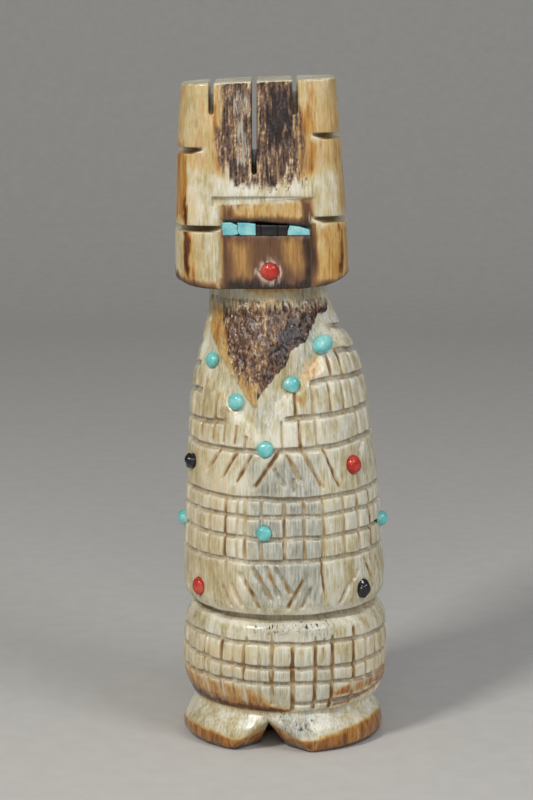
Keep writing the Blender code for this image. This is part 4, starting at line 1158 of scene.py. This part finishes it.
angle = angle_round(px, py, pz)
on_head = smooth_step(HEAD_FADE_START - head_distance(px, py, pz) / HEAD_FADE)
off_crown = smooth_step((crown_height(px) - CROWN_GAP - pz) / CROWN_FADE)
for name, sheet in sheets.items():
    if name != "depth":
        values = read(sheet, angle, pz) * off_crown
        if name == "burnt":
            values *= on_head
        attribute = thin_mesh.attributes.new(name, "FLOAT", "POINT")
        attribute.data.foreach_set("value", values.astype(np.float32))


# The carving: worked antler
#
# Antler is bone, filed smooth and polished: dense ivory outside, brown where its bark is left, and
# open and dark at its pith. Its fibres run up the figure. Filed grooves keep brown dirt.

ANTLER_IOR = 1.54
ANTLER_ROUGHNESS = 0.34
LEAST_ROUGHNESS = 0.04
ANTLER_BUMP = {"Strength": 0.7, "Distance": 0.00006}
# Noise: the size of its spots across and along the fibres in mm, its detail and its roughness
ANTLER_NOISES = {
    "fine": (0.24, 3.5, 4.0, 0.6),
    "streaks": (0.8, 12.0, 4.0, 0.6),
    "clouds": (4.0, 9.0, 2.0, 0.6),
    "blotches": (1.3, 2.4, 3.0, 0.6),
    "speckle": (0.26, 0.4, 3.0, 0.6),
    "hairs": (0.13, 1.4, 2.0, 0.5),
    "rods": (0.32, 2.6, 3.0, 0.6),
}
IVORY_WEIGHTS = {"fine": 0.35, "streaks": 0.25, "clouds": 0.4, "blotches": 0.35}
IVORY_TONES = (
    (0.565, "#af9d72"), (0.635, "#c7bb94"), (0.682, "#d2cbb1"), (0.73, "#dddac8"), (0.81, "#ecebe0"),
)
# Colours laid over the ivory, one after the other. Each has its name, what picks its tone, its
# tones, or one colour in their place, what says where it lies, from which sum it starts and at
# which it covers fully, and how strong it is.
ANTLER_LAYERS = (
    (
        "grey antler", {"fine": 0.6, "blotches": 0.4},
        ((0.36, "#75776f"), (0.46, "#999b90"), (0.55, "#b5b6aa"), (0.66, "#d0cfc4")),
        {"ash": 0.9, "streaks": 0.4, "blotches": 0.5}, (0.5, 1.3), 1.0,
    ),
    (
        "golden bark", {"amber": 0.6, "fine": 0.4, "streaks": 0.5},
        ((0.48, "#e0ca90"), (0.64, "#cfa65b"), (0.8, "#a9702f"), (0.9, "#71431e"), (1.0, "#3c2213")),
        {"amber": 1.6, "fine": 0.6, "streaks": 0.9, "clouds": 0.7}, (1.1, 1.9), 1.0,
    ),
    # Singed brown, with painted shade on the eye channel's upper lip
    (
        "singed edges and painted shade", {"burnt": 0.75, "fine": 0.35, "streaks": 0.2},
        ((0.32, "#cfa765"), (0.5, "#ab8049"), (0.68, "#755238"), (0.84, "#463024"), (1.0, "#1c120e")),
        {"burnt": 1.5, "fine": 0.3}, (0.25, 0.8), 1.0,
    ),
    (
        "dark fibres", None, "#6b5439",
        {"hairs": 0.9, "amber": 0.15, "ash": 0.05, "burnt": 0.06}, (0.56, 0.68), 0.35,
    ),
    # Painted highlight along the edges beside the cuts
    ("painted edge highlights", None, "#f0ecdf", {"edge_highlight": 1.0}, None, 0.34),
    (
        "light fibres", None, "#f1eadb",
        {"hairs": 1.0, "burnt": 0.3, "amber": 0.16}, (0.42, 0.32), 0.3,
    ),
    # The lumps of the chest vary less than the cells of the head-board
    (
        "pith", {
            "pore": 0.14, "dark": 0.3, "chest": 0.08, "chest rods": -0.36, "rods": 0.8, "speckle": 0.5,
            "blotches": 0.35,
        },
        ((0.66, "#d9cbb0"), (0.75, "#a98a64"), (0.85, "#735440"), (0.96, "#4a352d"), (1.0, "#2a1e1a")),
        {"pith": 1.0, "rods": 0.9}, (0.6, 1.1), 1.0,
    ),
    (
        "cell walls", None, "#cfc8b6",
        {"rods": 0.7, "fine": 0.4, "ash": 0.25, "dark": -0.3}, (0.66, 0.8), 0.75,
    ),
    (
        "sawn kerfs", {"fine": 0.5, "blotches": 0.5},
        ((0.38, "#8f8270"), (0.5, "#b3a68e"), (0.62, "#d0c5ac")),
        {"kerf": 1.0}, None, 0.8,
    ),
    (
        "brown dirt", {"stain": 0.8, "fine": 0.2, "blotches": 0.1},
        ((0.3, "#cbb381"), (0.6, "#af8f5c"), (0.85, "#8f704a"), (1.0, "#755636")),
        {"stain": 1.1, "fine": 0.4}, (0.25, 1.1), 1.0,
    ),
    # Pale skirt cuts, and painted light in the corner kerfs
    ("pale cuts and painted kerf light", None, "#d8cdb0", {"pale": 1.0}, None, 1.0),
    ("glue", None, "#e0c4b5", {"glue": 1.0}, None, 1.0),
)
ROUGH_WEIGHTS = {"pith": 0.16, "chest": -0.22, "kerf": 0.2, "stain": 0.12, "fine": 0.26, "blotches": 0.14}
PITH_RELIEF_WEIGHTS = {"rods": 2.0, "speckle": 1.6}
RELIEF_WEIGHTS = {"fine": 0.2, "speckle": 0.12, "pith relief": 1.0}


def linear(colour):
    """An sRGB hex colour as the linear numbers that a shader takes."""
    channels = [int(colour[place:place + 2], 16) / 255 for place in (1, 3, 5)]
    return (*(c / 12.92 if c <= 0.04045 else ((c + 0.055) / 1.055) ** 2.4 for c in channels), 1.0)


def add_node(material, kind, settings=None, links=None, stops=()):
    """Adds a node with its settings and what feeds it. Stops are places and colours of a ramp."""
    node = material.node_tree.nodes.new(kind)
    for name, value in (settings or {}).items():
        if isinstance(name, str) and hasattr(node, name):
            setattr(node, name, value)
        else:
            node.inputs[name].default_value = value
    for name, source in (links or {}).items():
        material.node_tree.links.new(source, node.inputs[name])
    if stops:
        ramp = node.color_ramp
        while len(ramp.elements) < len(stops):
            ramp.elements.new(0.5)
        for element, (place, colour) in zip(ramp.elements, stops):
            element.position = place
            element.color = linear(colour)
    return node


def new_material(name, roughness, ior, noises):
    """A material, its shader, and the patterns that its colours are picked by."""
    material = bpy.data.materials.new(name)
    material.use_nodes = True
    shader = material.node_tree.nodes["Principled BSDF"]
    shader.inputs["Roughness"].default_value = roughness
    shader.inputs["IOR"].default_value = ior
    source = add_node(material, "ShaderNodeTexCoord").outputs["Object"]
    patterns = {}
    for pattern, (across, along, detail, unevenness) in noises.items():
        scale = (1 / (across * MM), 1 / (across * MM), 1 / (along * MM))
        mapped = add_node(material, "ShaderNodeMapping", {"Scale": scale}, {"Vector": source})
        patterns[pattern] = add_node(
            material, "ShaderNodeTexNoise",
            {"Scale": 1.0, "Detail": detail, "Roughness": unevenness},
            {"Vector": mapped.outputs["Vector"]},
        ).outputs["Fac"]
    return material, shader, patterns


def weighed(material, patterns, weights):
    """The sum of some patterns, each times its weight."""
    total = None
    for pattern, weight in weights.items():
        settings = {"operation": "MULTIPLY_ADD", 1: weight, 2: 0.0}
        links = {0: patterns[pattern]}
        if total is not None:
            links[2] = total
        total = add_node(material, "ShaderNodeMath", settings, links).outputs[0]
    return total


antler, antler_shader, patterns = new_material(
    "polished_antler", ANTLER_ROUGHNESS, ANTLER_IOR, ANTLER_NOISES
)
for name in sheets:
    if name != "depth":
        patterns[name] = add_node(antler, "ShaderNodeAttribute", {"attribute_name": name}).outputs["Fac"]
patterns["chest rods"] = add_node(
    antler, "ShaderNodeMath", {"operation": "MULTIPLY"}, {0: patterns["chest"], 1: patterns["rods"]}
).outputs[0]

colour = add_node(
    antler, "ShaderNodeValToRGB", None, {"Fac": weighed(antler, patterns, IVORY_WEIGHTS)}, IVORY_TONES
).outputs["Color"]
shares = {}
for name, tone_weights, tones, share_weights, edges, strength in ANTLER_LAYERS:
    share = weighed(antler, patterns, share_weights)
    if edges:
        share = add_node(
            antler, "ShaderNodeMapRange",
            {"interpolation_type": "SMOOTHSTEP", "From Min": edges[0], "From Max": edges[1]},
            {"Value": share},
        ).outputs["Result"]
    # The pale walls between the cells show only where the pith is open
    if name == "cell walls":
        share = add_node(
            antler, "ShaderNodeMath", {"operation": "MULTIPLY"}, {0: share, 1: shares["pith"]}
        ).outputs[0]
    shares[name] = share
    settings, links = {"data_type": "RGBA"}, {0: weighed(antler, shares, {name: strength}), 6: colour}
    if tone_weights:
        tone = weighed(antler, patterns, tone_weights)
        links[7] = add_node(antler, "ShaderNodeValToRGB", None, {"Fac": tone}, tones).outputs["Color"]
    else:
        settings[7] = linear(tones)
    colour = add_node(antler, "ShaderNodeMix", settings, links).outputs[2]

patterns["pith relief"] = add_node(
    antler, "ShaderNodeMath", {"operation": "MULTIPLY"},
    {0: weighed(antler, patterns, PITH_RELIEF_WEIGHTS), 1: patterns["pith"]},
).outputs[0]
bump = add_node(
    antler, "ShaderNodeBump", ANTLER_BUMP, {"Height": weighed(antler, patterns, RELIEF_WEIGHTS)}
)
rough = add_node(
    antler, "ShaderNodeMath", {"operation": "ADD", "use_clamp": True, 1: LEAST_ROUGHNESS},
    {0: weighed(antler, patterns, ROUGH_WEIGHTS)},
).outputs[0]
for source, name in ((colour, "Base Color"), (rough, "Roughness"), (bump.outputs["Normal"], "Normal")):
    antler.node_tree.links.new(source, antler_shader.inputs[name])
# A little light goes a fifth of a millimetre into antler, as into horn or bone
antler_shader.inputs["Subsurface Weight"].default_value = 0.12
antler_shader.inputs["Subsurface Radius"].default_value = (1.0, 0.7, 0.45)
antler_shader.inputs["Subsurface Scale"].default_value = 0.0002

carving.data.materials.clear()
carving.data.materials.append(antler)
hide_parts("carving")


# The round stones of the robe and the mouth
#
# Small nuggets of turquoise, coral and jet, ground to rough domes and glued into drilled pockets.
# They stand half a millimetre proud and are polished, so each carries a small hard highlight.

STONE_VOXEL = 0.045
STONE_ROOT = 0.3
STONE_MARGIN = 0.3
STONE_LUMP = 1.1
STONE_EDGE = 0.05
LUMP_WAVES = 7
LUMP_PHASES = 6.3
LUMP_DIVISOR = 3
DOME_SHARE = 0.34
# The distances of a low dome are scaled by this many times its height
LOW_DOME = 2.2
# How round the turn from the stone's side to its top is
DOME_POWER = 2.4
TURQUOISE_IOR = 1.61
CORAL_IOR = 1.5
JET_IOR = 1.66
STONE_BUMP = {"Strength": 0.3, "Distance": 0.00002}
STONE_NOISES = {
    "clouds": (1.4, 1.4, 2.0, 0.6),
    "grains": (0.16, 0.16, 2.0, 0.6),
    "veins": (0.6, 0.5, 5.0, 0.6),
}
STONE_WEIGHTS = {"clouds": 0.75, "grains": 0.25}
TONE_STOPS = (0.36, 0.5, 0.64)
VEIN_EDGE = 0.08


def lumps(seed, size, u, v, w):
    """Seeded soft lumps of about that size in mm, from nought up and down to about one."""
    waves = np.random.default_rng(seed)
    total = 0.0
    for _ in range(LUMP_WAVES):
        direction = waves.standard_normal(3)
        direction *= 2 * math.pi / size / np.linalg.norm(direction)
        along = u * direction[0] + v * direction[1] + w * direction[2]
        total = total + np.cos(along + waves.uniform(0, LUMP_PHASES))
    return total / LUMP_DIVISOR


def stone_mesh(name, seat, wide, tall, seed, teeth, tooth, rough, dome_share):
    """A domed nugget on its seat, with its root below in the pocket."""
    reach = max(wide, tall) / 2 + STONE_MARGIN
    bottom = -STONE_ROOT - STONE_MARGIN
    u = np.arange(-reach, reach, STONE_VOXEL)[:, None, None]
    v = np.arange(-reach, reach, STONE_VOXEL)[None, :, None]
    w = np.arange(bottom, reach, STONE_VOXEL)[None, None, :]
    dome = dome_share * min(wide, tall)
    edge = 1 + tooth * np.cos(teeth * np.arctan2(v, u) + seed)
    across = np.hypot(u / (wide / 2), v / (tall / 2)) / edge
    upward = np.maximum(w, 0) / dome
    cap = (across ** DOME_POWER + upward ** DOME_POWER) ** (1 / DOME_POWER) - 1
    field = cap * min(wide, tall, LOW_DOME * dome) / 2 + rough * lumps(seed, STONE_LUMP, u, v, w)
    field = smooth_larger(field, -w - STONE_ROOT, STONE_EDGE)
    mesh = skin(name, field, np.array((-reach, -reach, bottom)), STONE_VOXEL)
    mesh.transform(seat)
    return mesh


def mottled(name, roughness, ior, tones, vein, vein_start):
    """A polished stone in three tones, with soft clouds and a little matrix or veining."""
    material, shader, patterns = new_material(name, roughness, ior, STONE_NOISES)
    tone = add_node(
        material, "ShaderNodeValToRGB", None, {"Fac": weighed(material, patterns, STONE_WEIGHTS)},
        tuple(zip(TONE_STOPS, tones)),
    ).outputs["Color"]
    line = add_node(
        material, "ShaderNodeMapRange",
        {"interpolation_type": "SMOOTHSTEP", "From Min": vein_start, "From Max": vein_start + VEIN_EDGE},
        {"Value": patterns["veins"]},
    ).outputs["Result"]
    veined = add_node(
        material, "ShaderNodeMix", {"data_type": "RGBA", 7: linear(vein)}, {0: line, 6: tone}
    ).outputs[2]
    bump = add_node(material, "ShaderNodeBump", STONE_BUMP, {"Height": patterns["clouds"]})
    material.node_tree.links.new(veined, shader.inputs["Base Color"])
    material.node_tree.links.new(bump.outputs["Normal"], shader.inputs["Normal"])
    return material


turquoise = mottled(
    "polished_turquoise", 0.22, TURQUOISE_IOR, ("#5fbab9", "#7acbc9", "#a5dedb"), "#8fb5a6", 0.7
)
coral = mottled("polished_coral", 0.2, CORAL_IOR, ("#a3241a", "#bd3527", "#d15a48"), "#dd9080", 0.66)
jet = mottled("polished_jet", 0.26, JET_IOR, ("#040406", "#08080b", "#121217"), "#2c2c33", 0.7)
STONE_MATERIALS = {"turquoise": turquoise, "coral": coral, "jet": jet}
# Teeth round the edge, how far they stand out, how lumpy the stone is, and how high its dome is
PLAIN_SHAPE = (3, 0.02, 0.02, DOME_SHARE)
STONE_SHAPES = {
    "jet_hip_right": (11, 0.035, 0.07, 0.5),
    "jet_side_left": (5, 0.05, 0.09, 0.62),
    "turquoise_side_left": (3, 0.02, 0.02, 0.5),
    "turquoise_side_right": (3, 0.02, 0.02, 0.5),
    "turquoise_yoke_right": (3, 0.05, 0.025, DOME_SHARE),
    "turquoise_shoulder_right": (2, 0.03, 0.02, 0.44),
}
MOUTH_SEED = 40


def add_stone(name, seat, wide, tall, seed, finish):
    shape = STONE_SHAPES.get(name, PLAIN_SHAPE)
    stone = add_piece("set_" + name, stone_mesh(name, seat, wide, tall, seed, *shape))
    stone.data.materials.append(STONE_MATERIALS[finish])
    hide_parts(name)


for seed, (name, angle, height, wide, tall, turn, sunk, finish) in enumerate(ROUND_STONES):
    add_stone(name, robe_seat(angle, height, sunk, turn), wide, tall, seed, finish)
add_stone("coral_mouth", mouth_seat, *MOUTH_SIZE, MOUTH_SEED, "coral")

# The eye band
#
# Short rods of turquoise and jet, cut to fit side by side in the sawn channel, glued and then
# ground nearly flush with the face.

EYE_GAP = 0.03
EYE_PROUD = 0.1
EYE_GRIND = 0.05
EYE_FRONT = float(face_floor(EYE_CHANNEL_BOTTOM)) - EYE_PROUD
EYE_BACK = float(face_floor(EYE_CHANNEL_BOTTOM + EYE_CHANNEL_HEIGHT / 2)) + EYE_CHANNEL_DEPTH - EYE_GAP
EYE_MARGIN = 0.2
EYE_LUMP = 1.6
EYE_LUMP_HEIGHT = 0.03
EYE_EDGE = 0.14
EYE_SEED = 60
# Outlines of the rods, in mm across and in height
EYE_STONES = (
    (
        "eye_turquoise_outer_left", "turquoise",
        ((-7.08, 63.3), (-6.1, 63.34), (-5.32, 62.95), (-5.45, 62.5), (-5.2, 62.05), (-5.7, 61.88),
         (-7.08, 61.88)),
    ),
    (
        "eye_turquoise_inner_left", "turquoise",
        ((-5.3, 63.3), (-4.0, 63.28), (-3.24, 63.15), (-3.22, 61.9), (-5.0, 61.9), (-5.32, 62.4),
         (-5.24, 62.9)),
    ),
    ("eye_jet", "jet", ((-3.14, 63.1), (0.5, 63.0), (0.42, 61.9), (-3.14, 61.9))),
    (
        "eye_turquoise_right", "turquoise",
        ((0.74, 62.98), (1.88, 62.85), (3.0, 62.5), (3.1, 61.9), (0.52, 61.9), (0.54, 62.35)),
    ),
)
JET_JOINTS = (-2.6, -0.66)
JET_JOINT_DEPTH = 0.09
JET_JOINT_WIDTH = 0.05
# The turquoise of the eyes is bluer than that of the robe
sky_turquoise = mottled(
    "sky_turquoise", 0.2, TURQUOISE_IOR, ("#66b2bb", "#80c6cb", "#a8dcdd"), "#6f9ba5", 0.66
)
EYE_MATERIALS = {"turquoise": sky_turquoise, "jet": jet}

for seed, (name, finish, outline) in enumerate(EYE_STONES, EYE_SEED):
    corners = [(across, height * UNIT) for across, height in outline]
    spans = [(min(values), max(values)) for values in zip(*corners)]
    spans.insert(1, (EYE_FRONT, EYE_BACK))
    x, y, z = (np.arange(low - EYE_MARGIN, high + EYE_MARGIN, STONE_VOXEL) for low, high in spans)
    lowest = np.array((x[0], y[0], z[0]))
    side = from_edge(x[None, :], z[:, None], corners).T[:, None, :]
    x, y, z = x[:, None, None], y[None, :, None], z[None, None, :]
    front = EYE_FRONT + EYE_GRIND - y + EYE_LUMP_HEIGHT * lumps(seed, EYE_LUMP, x, y, z)
    field = smooth_larger(smooth_larger(side - EYE_GAP, front, EYE_EDGE), y - EYE_BACK, STONE_EDGE)
    if finish == "jet":
        for joint in JET_JOINTS:
            field += JET_JOINT_DEPTH * np.exp(-((x - joint) / JET_JOINT_WIDTH) ** 2)
    rod = add_piece("set_" + name, skin(name, field, lowest, STONE_VOXEL))
    rod.data.materials.append(EYE_MATERIALS[finish])
    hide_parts(name)


# The floor, the lights and the camera
#
# A pale paper sweep, three soft boxes in front and above, and a camera a little above the figure's
# head, as close as a product photographer would stand it.

SWEEP_WIDTH = 1.6
SWEEP_FRONT = -0.8
SWEEP_BACK = 0.35
SWEEP_RADIUS = 0.25
SWEEP_HEIGHT = 1.2
BEND_STEPS = 24
PAPER_IOR = 1.5
PAPER_ROUGHNESS = 0.9


def paper_sweep():
    """A sheet of paper that lies flat and curves up behind the figure."""
    rows = [(SWEEP_FRONT, 0.0)]
    for step in range(BEND_STEPS + 1):
        turn = math.pi / 2 * step / BEND_STEPS
        rows.append((SWEEP_BACK + SWEEP_RADIUS * math.sin(turn), SWEEP_RADIUS * (1 - math.cos(turn))))
    rows.append((SWEEP_BACK + SWEEP_RADIUS, SWEEP_HEIGHT))
    work = bmesh.new()
    edges = [
        [work.verts.new((side * SWEEP_WIDTH / 2, y, z)) for side in (-1, 1)] for y, z in rows
    ]
    for near, far in zip(edges, edges[1:]):
        work.faces.new((near[0], near[1], far[1], far[0]))
    mesh = bpy.data.meshes.new("paper_sweep")
    work.to_mesh(mesh)
    work.free()
    mesh.shade_smooth()
    return mesh


sweep = bpy.data.objects.new("paper_sweep", paper_sweep())
bpy.context.scene.collection.objects.link(sweep)
# Matt paper gives the eye next to nothing but faint clouds of tone
paper, paper_shader, paper_patterns = new_material(
    "matt_paper", PAPER_ROUGHNESS, PAPER_IOR, {"clouds": (3.0, 3.0, 4.0, 0.6)}
)
paper_tone = add_node(
    paper, "ShaderNodeValToRGB", None, {"Fac": paper_patterns["clouds"]},
    ((0.3, "#c9c7c3"), (0.7, "#cfcdc9")),
)
paper.node_tree.links.new(paper_tone.outputs["Color"], paper_shader.inputs["Base Color"])
sweep.data.materials.append(paper)

# Soft boxes: name, place, size, power and colour
AIM = Vector((0.0, 0.0, 0.04))
SOFT_BOXES = (
    ("key_box", (-0.22, -0.28, 0.34), 0.08, 1.05, "#fffcf4"),
    ("second_box", (0.24, -0.26, 0.30), 0.16, 0.56, "#fbfcff"),
    ("front_box", (0.0, -0.55, 0.30), 0.30, 0.55, "#ffffff"),
)
for name, place, size, power, colour in SOFT_BOXES:
    light = bpy.data.lights.new(name, "AREA")
    light.shape = "SQUARE"
    light.size = size
    light.energy = power
    light.color = linear(colour)[:3]
    lamp = bpy.data.objects.new(name, light)
    lamp.location = place
    lamp.rotation_euler = (AIM - Vector(place)).to_track_quat("-Z", "Y").to_euler()
    bpy.context.scene.collection.objects.link(lamp)

world = bpy.data.worlds.new("studio")
world.use_nodes = True
world.node_tree.nodes["Background"].inputs["Color"].default_value = linear("#e8eaee")
world.node_tree.nodes["Background"].inputs["Strength"].default_value = 0.25
bpy.context.scene.world = world
bpy.context.scene.view_settings.view_transform = "Standard"

camera_data = bpy.data.cameras.new("camera")
camera_data.sensor_fit = "VERTICAL"
camera_data.sensor_height = 36.0
camera_data.lens = 108.1
camera_data.clip_start = 0.01
camera = bpy.data.objects.new("camera", camera_data)
camera.location = (-0.00195, -0.286, 0.090)
camera.rotation_euler = (math.radians(80.3), 0.0, 0.0)
bpy.context.scene.collection.objects.link(camera)
bpy.context.scene.camera = camera
